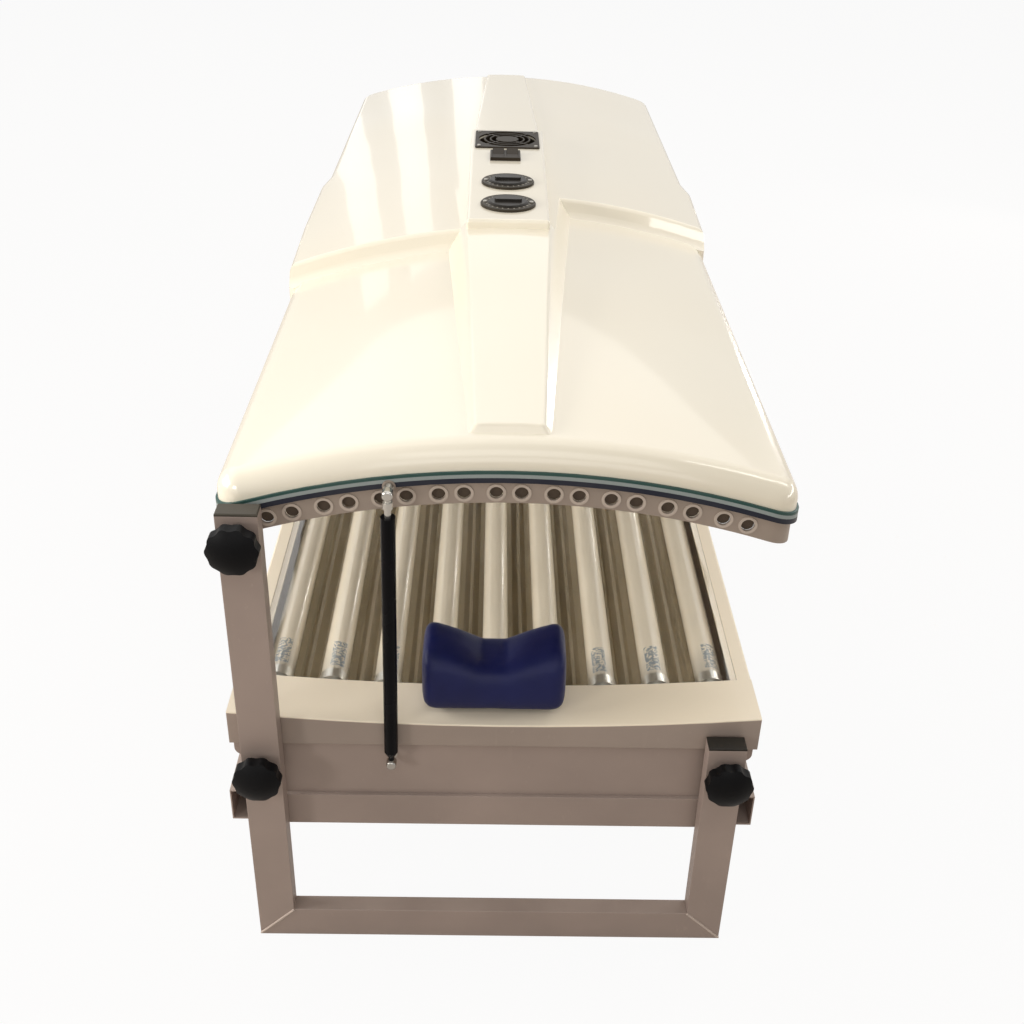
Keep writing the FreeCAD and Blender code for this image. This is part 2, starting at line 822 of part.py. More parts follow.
def bed_surface(offset, lift):
    """A point of the bed reflector's section, at an offset from the middle."""
    x = frame_x + offset
    return x, dish(bed_reflector_lift + lift)(x)


save("bed_lamp_tubes", *[lamp_tube(x, z) for x, z in bed_lamps])
bed_caps = [lamp_cap(x, z) for x, z in bed_lamps]
save("bed_lamp_caps", *(bed_caps + [at_other_end(item) for item in bed_caps]))
bed_holders = [lamp_holder(x, z, holder_foot) for x, z in bed_lamps]
save("bed_lamp_holders", *(bed_holders + [at_other_end(item) for item in bed_holders]))
save("bed_reflector", reflector(bed_surface, frame_x, holder_foot, bed_lamp_pitch, bed_reflector_half_width))


def choke(y, length, flange):
    """A lamp choke at x = 0, z = 0: a lacquered coil block between two fixing feet."""
    half = choke_width / 2.0
    reach = length / 2.0 + flange
    foot_half = half - choke_flange_inset
    block = box(-half, half, y - length / 2.0, y + length / 2.0, 0, choke_height)
    feet = box(-foot_half, foot_half, y - reach, y + reach, 0, choke_flange_thickness)
    return block.fuse(feet).removeSplitter()


def bed_choke(offset):
    """A choke that hangs under the tray, between the lower rails."""
    piece = choke(tray_end - bed_choke_from_end, choke_length, choke_flange)
    piece = piece.mirror(V(0, 0, 0), V(0, 0, 1))
    piece.translate(V(frame_x + offset, 0, tray_floor))
    return piece


save("bed_chokes", *[bed_choke(offset) for offset in in_row(lamp_pitch)])

# cable gland in the foot-end panel
gland = rod_y(gland_radius, *gland_place, panel_face - gland_inside, panel_face + gland_nut_length)
gland = gland.fuse(rod_y(gland_nut_radius, *gland_place, panel_face, panel_face + gland_nut_length))
gland = gland.cut(rod_y(gland_bore_radius, *gland_place, bed_end - gland_length, bed_end + gland_length))
save("mains_gland", gland)


# ---------------------------------------------------------------- canopy shell

shell_floor = arch_crown - 3.0 * arch_rise


def under(top, y0, y1):
    """Everything below a height that depends on x, wider than any part of the canopy."""
    reach = shoulder_half_width + edge_roll
    return band(arch_x - reach, arch_x + reach, level(shell_floor), top, y0, y1)


def plan_prism(outline, radii):
    """A tall block over a plan outline, given across the canopy and from its head end."""
    points = [V(arch_x + x, from_head(y), shell_floor) for x, y in outline]
    return Part.Face(rounded_wire(points, radii)).extrude(V(0, 0, 2.0 * (arch_crown - shell_floor)))


def lid(outline, radii, top, roll):
    """A block with a plan outline under a curved top, its upper edge rolled over."""
    block = plan_prism(outline, radii).common(under(top, -half_length, half_length))
    return block.makeFillet(roll, edges_where(block, lambda p: abs(p.z - top(p.x)) < near))


def spine_lid(inset):
    """The spine: a tapered strip with leaning sides, whose bowed top climbs towards the
    console. Past the console's front it goes on as a foot, level with the raised part."""
    start = spine_start + inset
    lap_end = console_start + spine_lap
    end = raise_right_start + spine_tail
    slope = math.atan2(spine_climb, lap_end - start)
    ridge = arch_crown + front_lift + spine_rise - inset
    side_inset = inset * (math.hypot(1.0, spine_lean) - spine_lean)

    def outline(z):
        """The spine's plan at one height; lower down it is wider and longer."""
        corners = []
        for side, y in ((-1, start), (1, start), (1, end), (-1, end)):
            top = ridge + (y - start) * math.tan(slope)
            share = (y - start) / (lap_end - start)
            half = spine_front_half + (console_front_half - spine_front_half) * share - side_inset
            corners.append([side * (half + spine_lean * (top - z)), y])
        for corner in corners[:2]:
            corner[1] -= spine_lean * (ridge - z)
        return [V(arch_x + x, from_head(y), z) for x, y in corners]

    foot = outline(ridge - spine_rise - spine_root)
    head = outline(arch_crown + console_rise - inset)
    block = Part.makeLoft([Part.makePolygon(foot + foot[:1]), Part.makePolygon(head + head[:1])], True, True)
    bow = arch(front_lift + spine_rise - inset)
    top = under(bow, -half_length, half_length)
    hinge = V(arch_x, from_head(start), ridge)
    top.rotate(hinge, V(1, 0, 0), math.degrees(slope))
    block = block.common(top)

    def on_top(point):
        level_z = (point.z - hinge.z) * math.cos(slope) - (point.y - hinge.y) * math.sin(slope)
        return abs(hinge.z + level_z - bow(point.x)) < near

    front_corners = [edge for edge in edges_where(block, lambda p: p.y < hinge.y + near)
                     if abs(edge.Vertexes[0].Z - edge.Vertexes[1].Z) > spine_rise]
    block = block.makeFillet(spine_corner - inset, front_corners)
    block = block.makeFillet(spine_edge - inset, edges_where(block, on_top))
    over_foot = band(arch_x - shoulder_half_width, arch_x + shoulder_half_width, arch(raised_lift - inset),
                     level(2.0 * console_top), from_head(lap_end), half_length)
    return block.cut(over_foot)


def low_outline(inset):
    half = canopy_half_width - inset
    return [(-half, inset), (half, inset), (half, canopy_length - inset), (-half, canopy_length - inset)]


def riser_foot(start, inset):
    """Where the hollow along a riser's foot begins, from the canopy's head end."""
    return start + inset - (riser_cove + inset) * math.tan(math.radians(riser_slope_deg) / 2.0)


def raised_outline(side, start, skew, inset):
    """Plan of one raised half, from ahead of the riser's foot: a shoulder that swells, then steps
    in towards the foot end."""
    foot = riser_foot(start, inset) - riser_toe
    half = shoulder_half_width - inset
    inner = -side * (raised_overlap - inset)
    rear_half = canopy_half_width + raised_proud - inset
    rear = canopy_length + raised_proud - inset
    knee = shoulder_end + shoulder_taper * abs(half - rear_half)
    points = [(inner, foot + skew), (side * (half - shoulder_swell), foot),
              (side * half, start + shoulder_run), (side * half, shoulder_end),
              (side * rear_half, knee), (side * rear_half, rear), (inner, rear)]
    return points if side > 0 else points[::-1]


def riser_cutter(side, start, skew, inset):
    """All that is in front of a riser: a ring round the arch's axis whose back is a slope
    with a hollow foot. It is turned by the riser's skew about the canopy's side."""
    slope = math.radians(riser_slope_deg)
    cove = riser_cove + inset
    foot_r = arch_radius + front_lift - inset - riser_bite
    foot_y = from_head(riser_foot(start, inset))
    bend, leave = [V(arch_x, foot_y + cove * math.sin(angle),
                     arch_z + foot_r + cove * (1.0 - math.cos(angle))) for angle in (slope / 2.0, slope)]
    top_r = arch_radius + 2.0 * raised_lift
    rise = arch_z + top_r - leave.z
    front = -2.0 * half_length
    points = [leave, V(arch_x, leave.y + rise / math.tan(slope), arch_z + top_r),
              V(arch_x, front, arch_z + top_r), V(arch_x, front, arch_z + foot_r),
              V(arch_x, foot_y, arch_z + foot_r)]
    edges = [Part.LineSegment(points[index], points[index + 1]).toShape() for index in range(4)]
    edges.append(Part.Arc(points[4], bend, leave).toShape())
    half_turn = math.degrees(math.asin((shoulder_half_width + 2.0 * edge_roll) / arch_radius))
    ring = Part.Face(Part.Wire(edges)).revolve(V(arch_x, 0, arch_z), V(0, 1, 0), 2.0 * half_turn)
    ring.rotate(V(arch_x, 0, arch_z), V(0, 1, 0), -half_turn)
    turn = math.degrees(math.atan2(skew, shoulder_half_width))
    ring.rotate(V(arch_x + side * shoulder_half_width, from_head(start), 0), V(0, 0, 1), -side * turn)
    return ring


def raised_half(side, start, skew, inset):
    """One half of the raised part, with its sides and foot end rolled over."""
    radii = [0.0, shoulder_front - inset, shoulder_bend, shoulder_knee, shoulder_knee,
             plan_corner + raised_proud - inset, 0.0]
    radii = radii if side > 0 else radii[::-1]
    top = arch(raised_lift - inset)
    inner_x = arch_x - side * (raised_overlap - inset)
    block = plan_prism(raised_outline(side, start, skew, inset), radii)
    block = block.common(under(top, -half_length, half_length))
    block = block.cut(riser_cutter(side, start, skew, inset))
    rolled = [edge for edge in edges_where(block, lambda p: abs(p.z - top(p.x)) < near)
              if any(abs(vertex.X - inner_x) > near for vertex in edge.Vertexes)]
    roll = min(raised_roll, roll_per_rise * (raised_lift - front_lift))
    block = block.makeFillet(roll - inset, rolled)
    return block.cut(under(arch(shoulder_drop + inset), -half_length, half_length))


def tapered(start, end, half0, half1, inset):
    return [(-half0 + inset, start + inset), (half0 - inset, start + inset),
            (half1 - inset, end - inset), (-half1 + inset, end - inset)]


def shell_body(inset):
    """The whole shell's outside, or with the wall as inset, its hollow."""
    console_end = console_start + console_length
    soft = [console_soft] * 4
    low = lid(low_outline(inset), [plan_corner - inset] * 4, arch(front_lift - inset), edge_roll - inset)
    rib = lid(tapered(console_end - spine_lap, canopy_length - rib_from_end,
                      rib_front_half, rib_rear_half, inset),
              soft, arch(raised_lift + spine_rise - inset), spine_edge - inset + 1.0)
    console = lid(tapered(console_start, console_end, console_front_half, console_rear_half, inset),
                  soft, level(console_top - inset), console_edge - inset + 1.0)
    body = low.fuse(raised_half(-1, raise_left_start, raise_left_skew, inset))
    body = body.fuse(raised_half(1, raise_right_start, 0.0, inset))
    return body.fuse(spine_lid(inset)).fuse(rib).fuse(console)


def console_hole(radius, distance, x_offset=0.0):
    place = console_point(distance, x_offset)
    return rod_z(radius, place.x, place.y, place.z - 2.0 * fan_depth, place.z + fan_depth)


def screw_hole(distance, x_offset):
    return console_hole(screw_shank_radius + screw_gap, distance, x_offset)


# screws as (distance from the canopy's head end, offset from its middle, height of the seat)
fan_screws = [(fan_centre + along * (fan_plate / 2.0 - screw_inset), side * (fan_plate / 2.0 - screw_inset),
               guard_thickness) for along in (-1, 1) for side in (-1, 1)]
dial_screws = [(distance, side * (dial_radius - screw_inset), dial_bezel_height)
               for distance in dial_centres for side in (-1, 1)]
boss_y = canopy_end + trim_proud + stud_boss_proud
boss_x = frame_x - strut_upper_x
switch = console_point(switch_centre, switch_shift)


def switch_block(inset, z0, z1):
    """A block with the switch's plan, smaller all round by an inset."""
    half_x = switch_width / 2.0 - inset
    half_y = switch_depth / 2.0 - inset
    return box(switch.x - half_x, switch.x + half_x, switch.y - half_y, switch.y + half_y, z0, z1)


def stud_boss_hole():
    return rod_y(stud_boss_radius + stud_boss_gap, boss_x, strut_upper_z, -half_length, -channel_end)


channel_end = plate_y - plan_corner + shell_wall
shell = shell_body(0.0).cut(shell_body(shell_wall))
shell = shell.cut(under(arch(0.0), -half_length, half_length))
shell = shell.cut(console_hole(fan_bore_radius, fan_centre))
for dial in dial_centres:
    shell = shell.cut(console_hole(dial_body_radius + fitting_gap, dial))
shell = shell.cut(switch_block(switch_body_inset - fitting_gap, console_top - fan_depth,
                               console_top + switch_bezel_height))
for distance, x_offset, _ in fan_screws + dial_screws:
    shell = shell.cut(screw_hole(distance, x_offset))
shell = shell.cut(stud_boss_hole()).cut(at_other_end(stud_boss_hole()))
save("canopy_shell", shell)


def rounded_plan(half, reach, corner, z0, z1):
    points = [V(arch_x - half, -reach, z0), V(arch_x + half, -reach, z0),
              V(arch_x + half, reach, z0), V(arch_x - half, reach, z0)]
    return Part.Face(rounded_wire(points, [corner] * 4)).extrude(V(0, 0, z1 - z0))


def edge_trim():
    """The striped profile round the shell's lower edge."""
    z0 = arch_crown - 2.0 * arch_rise
    z1 = arch_crown + 2.0 * arch_rise
    outer = rounded_plan(canopy_half_width + trim_proud, canopy_end + trim_proud,
                         plan_corner + trim_proud, z0, z1)
    ring = outer.cut(rounded_plan(canopy_half_width, canopy_end, plan_corner, z0 - past, z1 + past))
    ring = ring.common(under(arch(trim_height), -half_length, half_length))
    return ring.cut(under(arch(0.0), -half_length, half_length))


trim = edge_trim().cut(stud_boss_hole()).cut(at_other_end(stud_boss_hole()))
save("canopy_trim", trim)


# ---------------------------------------------------------------- canopy inside

plate_half = canopy_half_width - chassis_inset
chassis_corner = plan_corner - shell_wall
sheet_low = -end_plate_depth + channel_wall
canopy_lamp_lift = sheet_low + acrylic_thickness + lamp_clearance + lamp_radius
canopy_reflector_lift = canopy_lamp_lift + lamp_radius + reflector_clearance
strap_lift = canopy_reflector_lift + reflector_sheet


def vent_places():
    places = []
    for offset in in_row(lamp_pitch):
        for side in (-1, 1):
            x = arch_x + offset + side * vent_spacing / 2.0
            places.append((x, arch(-vent_drop)(x)))
    return places


def plan_sheet(inset, low, high):
    """A solid with the chassis's rounded plan between two lifts of the arch."""
    solid = rounded_plan(plate_half - inset, plate_y - inset, chassis_corner - inset,
                         shell_floor, arch_crown + arch_rise)
    solid = solid.common(under(arch(high), -half_length, half_length))
    return solid.cut(under(arch(low), -half_length, half_length))


def end_plate():
    """The curved end plate of the lamp chassis: it wraps round both corners and is
    pierced by pairs of vent holes."""
    upstand_half = canopy_half_width - plan_corner - shell_wall
    wrap = plan_sheet(0.0, -end_plate_depth, -chassis_gap)
    wrap = wrap.cut(plan_sheet(end_plate_sheet, -end_plate_depth - 1.0, 0.0))
    plate = wrap.common(box(-half_length, half_length, -half_length, -channel_end,
                            shell_floor, arch_crown + arch_rise))
    upstand = band(arch_x - upstand_half, arch_x + upstand_half, arch(-shell_wall), arch(end_plate_upstand),
                   -plate_y, -plate_y + end_plate_sheet)
    plate = plate.fuse(upstand).removeSplitter()
    for x, z in vent_places():
        plate = plate.cut(rod_y(vent_hole_radius, x, z, -canopy_end, -channel_end))
    plate = plate.fuse(rod_y(stud_boss_radius, boss_x, strut_upper_z, -boss_y, -plate_y))
    return plate.cut(bush_hole(pivot_x, pivot_height, -plate_y))


def vent_ring(x, z):
    """A snap-in plastic ring that lines one vent hole."""
    flange = rod_y(vent_ring_radius, x, z, -plate_y - vent_ring_proud, -plate_y)
    return flange.cut(rod_y(vent_hole_radius, x, z, -canopy_end, -channel_end))


save("head_end_plate", end_plate())
save("foot_end_plate", at_other_end(end_plate()))
rings = [vent_ring(x, z) for x, z in vent_places()]
save("vent_rings", *(rings + [at_other_end(ring) for ring in rings]))


def side_channel(side):
    """A C-shaped channel under the shell's side that carries the sheet's edge."""
    outer = arch_x + side * plate_half
    inner = outer - side * side_channel_width
    x0, x1 = sorted((outer, inner))
    block = band(x0, x1, arch(-end_plate_depth), arch(-chassis_gap), -channel_end, channel_end)
    m0, m1 = sorted((inner - side * side_channel_lip, outer - side * channel_wall))
    hollow = band(m0, m1, arch(sheet_low), arch(-chassis_gap - channel_wall), -plate_y, plate_y)
    return block.cut(hollow)


save("canopy_side_channels", side_channel(-1), side_channel(1))

canopy_acrylic = plan_sheet(end_plate_sheet + chassis_gap, sheet_low, sheet_low + acrylic_thickness)
save("canopy_acrylic", canopy_acrylic)

canopy_lamps = [(arch_x + offset, arch(canopy_lamp_lift)(arch_x + offset)) for offset in in_row(lamp_pitch)]
save("canopy_lamp_tubes", *[lamp_tube(x, z) for x, z in canopy_lamps])
canopy_caps = [lamp_cap(x, z) for x, z in canopy_lamps]
save("canopy_lamp_caps", *(canopy_caps + [at_other_end(item) for item in canopy_caps]))
under_straps = under(arch(strap_lift), -canopy_end, canopy_end)
canopy_holders = [lamp_holder(x, z, z + 2.0 * lamp_radius).common(under_straps) for x, z in canopy_lamps]
save("canopy_lamp_holders", *(canopy_holders + [at_other_end(item) for item in canopy_holders]))


def canopy_surface(offset, lift):
    """A point of the canopy reflector's section, at an offset from the middle."""
    x = arch_x + offset
    return x, arch(canopy_reflector_lift - lift)(x)


canopy_reflector_half_width = lamp_pitch * lamp_count / 2.0
save("canopy_reflector", reflector(canopy_surface, arch_x, None, lamp_pitch, canopy_reflector_half_width))


def cross_strap(y):
    """A bowed strap with legs down to the side channels."""
    half = plate_half - strap_inset
    y0, y1 = y - strap_width / 2, y + strap_width / 2
    strap = band(arch_x - half, arch_x + half, arch(strap_lift), arch(strap_lift + strap_sheet), y0, y1)
    for side in (-1, 1):
        x0, x1 = sorted((arch_x + side * half, arch_x + side * (half - strap_sheet)))
        leg = band(x0, x1, arch(-chassis_gap), arch(strap_lift + strap_sheet / 2), y0, y1)
        strap = strap.fuse(leg)
    return strap.removeSplitter()


holder_y = lamp_half + holder_gap + holder_thickness / 2.0
choke_strap = choke_strap_from_middle
rear_strap = canopy_end - rear_strap_from_end
strap_places = (-holder_y, -choke_strap, choke_strap, rear_strap, holder_y)
save("canopy_cross_straps", *[cross_strap(y) for y in strap_places])

# the canopy's chokes lie on the straps, under the raised foot half
canopy_choke_y = (choke_strap + rear_strap) / 2.0
canopy_choke_foot = (rear_strap - choke_strap - canopy_choke_length) / 2.0 + strap_width / 4.0


def seated_on_arch(shape, offset, lift):
    """Turn a piece made at x = 0, z = 0 to lie on the arch at an offset from its middle."""
    angle = math.degrees(math.asin(offset / (arch_radius + lift)))
    shape.translate(V(arch_x, 0, arch_z + arch_radius + lift))
    shape.rotate(V(arch_x, 0, arch_z), V(0, 1, 0), angle)
    return shape


def canopy_choke(offset):
    piece = choke(canopy_choke_y, canopy_choke_length, canopy_choke_foot)
    return seated_on_arch(piece, offset, strap_lift + strap_sheet)


save("canopy_chokes", *[canopy_choke(offset) for offset in in_row(lamp_pitch)])


# ---------------------------------------------------------------- console fittings

fan = console_point(fan_centre)
fan_bottom = fan.z - shell_wall - fan_depth
fan_half = fan_bore_radius + fan_frame


def fan_housing():
    """A square fan frame with a motor seat on three spokes."""
    frame = box(fan.x - fan_half, fan.x + fan_half, fan.y - fan_half, fan.y + fan_half,
                fan_bottom, fan.z - shell_wall)
    frame = frame.cut(rod_z(fan_bore_radius, fan.x, fan.y, fan_bottom - past, fan.z + past))
    seat = rod_z(rotor_hub_radius, fan.x, fan.y, fan_bottom, fan_bottom + fan_seat)
    for index in range(fan_spokes):
        spoke = box(fan.x + rotor_hub_radius - 1.0, fan.x + fan_bore_radius + 1.0,
                    fan.y - fan_spoke / 2.0, fan.y + fan_spoke / 2.0, fan_bottom, fan_bottom + fan_frame)
        spoke.rotate(V(fan.x, fan.y, 0), V(0, 0, 1), 90.0 + 360.0 * index / fan_spokes)
        seat = seat.fuse(spoke)
    seat = seat.cut(rod_z(rotor_spindle_radius + spindle_gap, fan.x, fan.y, fan_bottom - past, fan.z))
    return frame.fuse(seat)


def ring_z(outer, inner, place, z0, z1):
    ring = rod_z(outer, place.x, place.y, z0, z1)
    return ring.cut(rod_z(inner, place.x, place.y, z0 - past, z1 + past))


def fan_guard():
    """A square finger guard: rings round a hub plate, carried by four ribs."""
    z0, z1 = fan.z, fan.z + guard_thickness
    half = fan_plate / 2.0
    plate = box(fan.x - half, fan.x + half, fan.y - half, fan.y + half, z0, z1)
    corners = edges_where(plate, lambda p: abs(abs(p.x - fan.x) - half) < near
                          and abs(abs(p.y - fan.y) - half) < near)
    plate = plate.makeFillet(fan_corner, corners)
    guard = plate.cut(rod_z(fan_bore_radius, fan.x, fan.y, z0 - past, z1 + past))
    radius = guard_hub_radius + guard_ring_pitch
    while radius + guard_ring_width < fan_bore_radius - guard_ring_width:
        guard = guard.fuse(ring_z(radius + guard_ring_width / 2, radius - guard_ring_width / 2, fan, z0, z1))
        radius += guard_ring_pitch
    guard = guard.fuse(rod_z(guard_hub_radius, fan.x, fan.y, z0, z1))
    for index in range(guard_ribs):
        rib = box(fan.x + guard_hub_radius - 1.0, fan.x + fan_bore_radius + 1.0,
                  fan.y - guard_ring_width / 2, fan.y + guard_ring_width / 2, z0, z1)
        rib.rotate(V(fan.x, fan.y, 0), V(0, 0, 1), (index + 0.5) * 360.0 / guard_ribs)
        guard = guard.fuse(rib)
    return guard.removeSplitter()


def fan_rotor():
    """A hub with pitched blades on a short spindle."""
    low = fan_bottom + fan_seat + rotor_gap
    hub = rod_z(rotor_hub_radius, fan.x, fan.y, low, low + rotor_depth)
    rotor = hub.fuse(rod_z(rotor_spindle_radius, fan.x, fan.y, fan_bottom + rotor_gap, low))
    for index in range(rotor_blades):
        height = rotor_depth - 2.0 * blade_thickness
        chord = height / math.sin(math.radians(blade_pitch_deg))
        blade = box(fan.x + rotor_hub_radius - blade_thickness, fan.x + rotor_radius,
                    fan.y - chord / 2, fan.y + chord / 2, -blade_thickness / 2, blade_thickness / 2)
        blade.translate(V(0, 0, low + rotor_depth / 2))
        blade.rotate(V(fan.x, fan.y, low + rotor_depth / 2), V(1, 0, 0), blade_pitch_deg)
        blade = blade.common(rod_z(rotor_radius, fan.x, fan.y, low, low + rotor_depth))
        blade.rotate(V(fan.x, fan.y, 0), V(0, 0, 1), 360.0 * index / rotor_blades)
        rotor = rotor.fuse(blade)
    return rotor


guard = fan_guard()
housing = fan_housing()
for distance, x_offset, _ in fan_screws:
    guard = guard.cut(screw_hole(distance, x_offset))
    housing = housing.cut(screw_hole(distance, x_offset))
save("fan_guard", guard)
save("fan_housing", housing)
save("fan_rotor", fan_rotor())

rocker_length = switch_depth - 2.0 * switch_rim
rocker_width = (switch_width - 3.0 * switch_rim) / 2.0
rocker_pivot_z = console_top + rocker_pivot_rise
cavity_bottom = console_top - switch_cavity
bezel_top = console_top + switch_bezel_height


def rocker_x(side):
    return switch.x + side * (rocker_width + switch_rim) / 2.0


def switch_housing():
    """The flanged body that holds both rockers."""
    flange = switch_block(0.0, console_top, bezel_top)
    flange = flange.makeFillet(switch_edge, edges_where(flange, lambda p: p.z > bezel_top - near))
    shape = flange.fuse(switch_block(switch_body_inset, cavity_bottom - switch_floor, console_top))
    for side in (-1, 1):
        x = rocker_x(side)
        shape = shape.cut(box(x - rocker_width / 2, x + rocker_width / 2,
                              switch.y - rocker_length / 2, switch.y + rocker_length / 2,
                              cavity_bottom, bezel_top + past))
    return shape


def rocker(side):
    """A two-position key with a dished face, tipped towards the head end at rest."""
    x = rocker_x(side)
    half = rocker_length / 2.0 - rocker_gap
    x0 = x - rocker_width / 2.0 + rocker_side_gap
    x1 = x + rocker_width / 2.0 - rocker_side_gap
    rise = half * math.tan(math.radians(rocker_tilt_deg))
    top = rocker_height
    nose = top - rocker_nose
    profile = [(-half, top), (0.0, top - rise), (half, top), (half, nose),
               (half / 2.0, -rocker_keel), (-half / 2.0, -rocker_keel), (-half, nose)]
    points = [V(x0, switch.y + y, rocker_pivot_z + z) for y, z in profile]
    key = polygon(points).extrude(V(x1 - x0, 0, 0))
    key.rotate(V(x, switch.y, rocker_pivot_z), V(1, 0, 0), rocker_tilt_deg)
    return key


save("switch_housing", switch_housing())
save("left_rocker", rocker(-1))
save("right_rocker", rocker(1))


def timer(distance):
    """A flanged clockwork timer whose drum hangs inside the console."""
    place = console_point(distance)
    flange = rod_z(dial_radius, place.x, place.y, place.z, place.z + dial_bezel_height)
    flange = flange.makeChamfer(dial_chamfer, edges_where(
        flange, lambda p: p.z > place.z + dial_bezel_height - near))
    drum = rod_z(dial_body_radius, place.x, place.y, place.z - shell_wall - dial_body_depth, place.z)
    shape = flange.fuse(drum)
    shape = shape.cut(rod_z(dial_shaft_radius + spindle_gap, place.x, place.y,
                            place.z - dial_shaft_depth - dial_shaft_room, place.z + 2.0 * dial_bezel_height))
    for side in (-1, 1):
        shape = shape.cut(screw_hole(distance, side * (dial_radius - screw_inset)))
    return shape


def timer_knob(distance):
    """A skirted knob with a bar grip, on the timer's shaft."""
    place = console_point(distance)
    low = place.z + dial_bezel_height + timer_knob_gap
    skirt = Part.makeCone(knob_skirt_radius, knob_skirt_radius - knob_skirt_taper, knob_skirt_height,
                          V(place.x, place.y, low), V(0, 0, 1))
    grip = box(place.x - grip_length / 2, place.x + grip_length / 2,
               place.y - grip_width / 2, place.y + grip_width / 2,
               low, low + knob_skirt_height + grip_height)
    ends = edges_where(grip, lambda p: abs(abs(p.x - place.x) - grip_length / 2) < near
                       and abs(abs(p.y - place.y) - grip_width / 2) < near)
    grip = grip.makeFillet(grip_corner, ends)
    shaft = rod_z(dial_shaft_radius, place.x, place.y, place.z - dial_shaft_depth, low + knob_skirt_height)
    return skirt.fuse(grip).fuse(shaft)


save("timers", *[timer(distance) for distance in dial_centres])
save("head_timer_knob", timer_knob(dial_centres[0]))
save("foot_timer_knob", timer_knob(dial_centres[1]))


def console_screw(distance, x_offset, seat):
    place = console_point(distance, x_offset, seat)
    head_disc = rod_z(screw_head_radius, place.x, place.y, place.z, place.z + screw_head_height)
    head_disc = head_disc.makeChamfer(screw_head_chamfer, edges_where(
        head_disc, lambda p: p.z > place.z + screw_head_height - near))
    shank = rod_z(screw_shank_radius, place.x, place.y, place.z - screw_shank_length, place.z)
    return head_disc.fuse(shank)


save("console_screws", *[console_screw(*place) for place in fan_screws + dial_screws])


# ---------------------------------------------------------------- gas struts

strut_low = V(frame_x - strut_lower_x, -strut_y, strut_lower_z)
strut_high = V(boss_x, -strut_y, strut_upper_z)
strut_axis = (strut_high - strut_low).normalize()
strut_span = strut_high.distanceToPoint(strut_low)


def along_strut(distance):
    return strut_low + strut_axis * distance


def ball_cup(centre, mouth_depth):
    """The drum-shaped end that holds a ball; its mouth faces the bed or the canopy."""
    cup = rod_y(socket_radius, centre.x, centre.z, centre.y - cup_depth, centre.y + mouth_depth)
    return cup.makeFillet(cup_edge, edges_where(cup, lambda p: p.y < centre.y - cup_depth + near))


strut_bore_depth = strut_span - strut_neck - strut_tail - strut_bore_floor
strut_rod_inside = strut_bore_depth - strut_rod_room


def strut_cylinder():
    """The pressure tube with a tapered end and the lower ball socket."""
    length = strut_span - strut_tail - strut_neck
    body = Part.makeCylinder(strut_cylinder_radius, length - strut_taper,
                             along_strut(strut_tail + strut_taper), strut_axis)
    taper = Part.makeCone(strut_taper_radius, strut_cylinder_radius, strut_taper,
                          along_strut(strut_tail), strut_axis)
    stem = Part.makeCylinder(strut_rod_radius, strut_tail, along_strut(0.0), strut_axis)
    cylinder = body.fuse(taper).fuse(stem).fuse(ball_cup(strut_low, cup_mouth))
    cavity = Part.makeSphere(ball_radius + socket_wall_gap, strut_low)
    mouth = rod_y(ball_shank_radius + cup_mouth_gap, strut_low.x, strut_low.z, strut_low.y, -bed_end)
    bore_start = along_strut(strut_span - strut_neck - strut_bore_depth)
    bore = Part.makeCylinder(strut_bore_radius, strut_bore_depth + past, bore_start, strut_axis)
    return cylinder.cut(cavity).cut(mouth).cut(bore)


def strut_rod():
    """The rod with its upper cup and the stud in it, which reaches to the canopy's boss."""
    start = along_strut(strut_span - strut_neck - strut_rod_inside)
    rod = Part.makeCylinder(strut_rod_radius, strut_rod_inside + strut_neck, start, strut_axis)
    collar_start = along_strut(strut_span - socket_radius - collar_gap - collar_length)
    collar = Part.makeCylinder(collar_radius, collar_length, collar_start, strut_axis)
    stud_end = -boss_y - open_pivot_gap
    shank = rod_y(ball_shank_radius, strut_high.x, strut_high.z, strut_high.y, stud_end)
    flange = rod_y(collar_radius, strut_high.x, strut_high.z, stud_end - stud_flange, stud_end)
    return rod.fuse(collar).fuse(ball_cup(strut_high, cup_mouth)).fuse(shank).fuse(flange)


def lower_stud():
    """The ball stud screwed into the bed's end panel, with its flange and nut."""
    x, z = strut_low.x, strut_low.z
    ball = Part.makeSphere(ball_radius, strut_low)
    inside = -panel_face + fascia_sheet
    shank = rod_y(ball_shank_radius, x, z, strut_low.y, inside + stud_nut + stud_flange)
    flange = rod_y(stud_nut_radius, x, z, -panel_face - stud_flange, -panel_face)
    nut = rod_y(stud_nut_radius, x, z, inside, inside + stud_nut)
    return ball.fuse(shank).fuse(flange).fuse(nut)


cylinder = strut_cylinder()
rod = strut_rod()
save("head_strut_cylinder", cylinder)
save("foot_strut_cylinder", at_other_end(cylinder))
save("head_strut_rod", rod)
save("foot_strut_rod", at_other_end(rod))
save("strut_lower_studs", lower_stud(), at_other_end(lower_stud()))


# ---------------------------------------------------------------- neck pillow

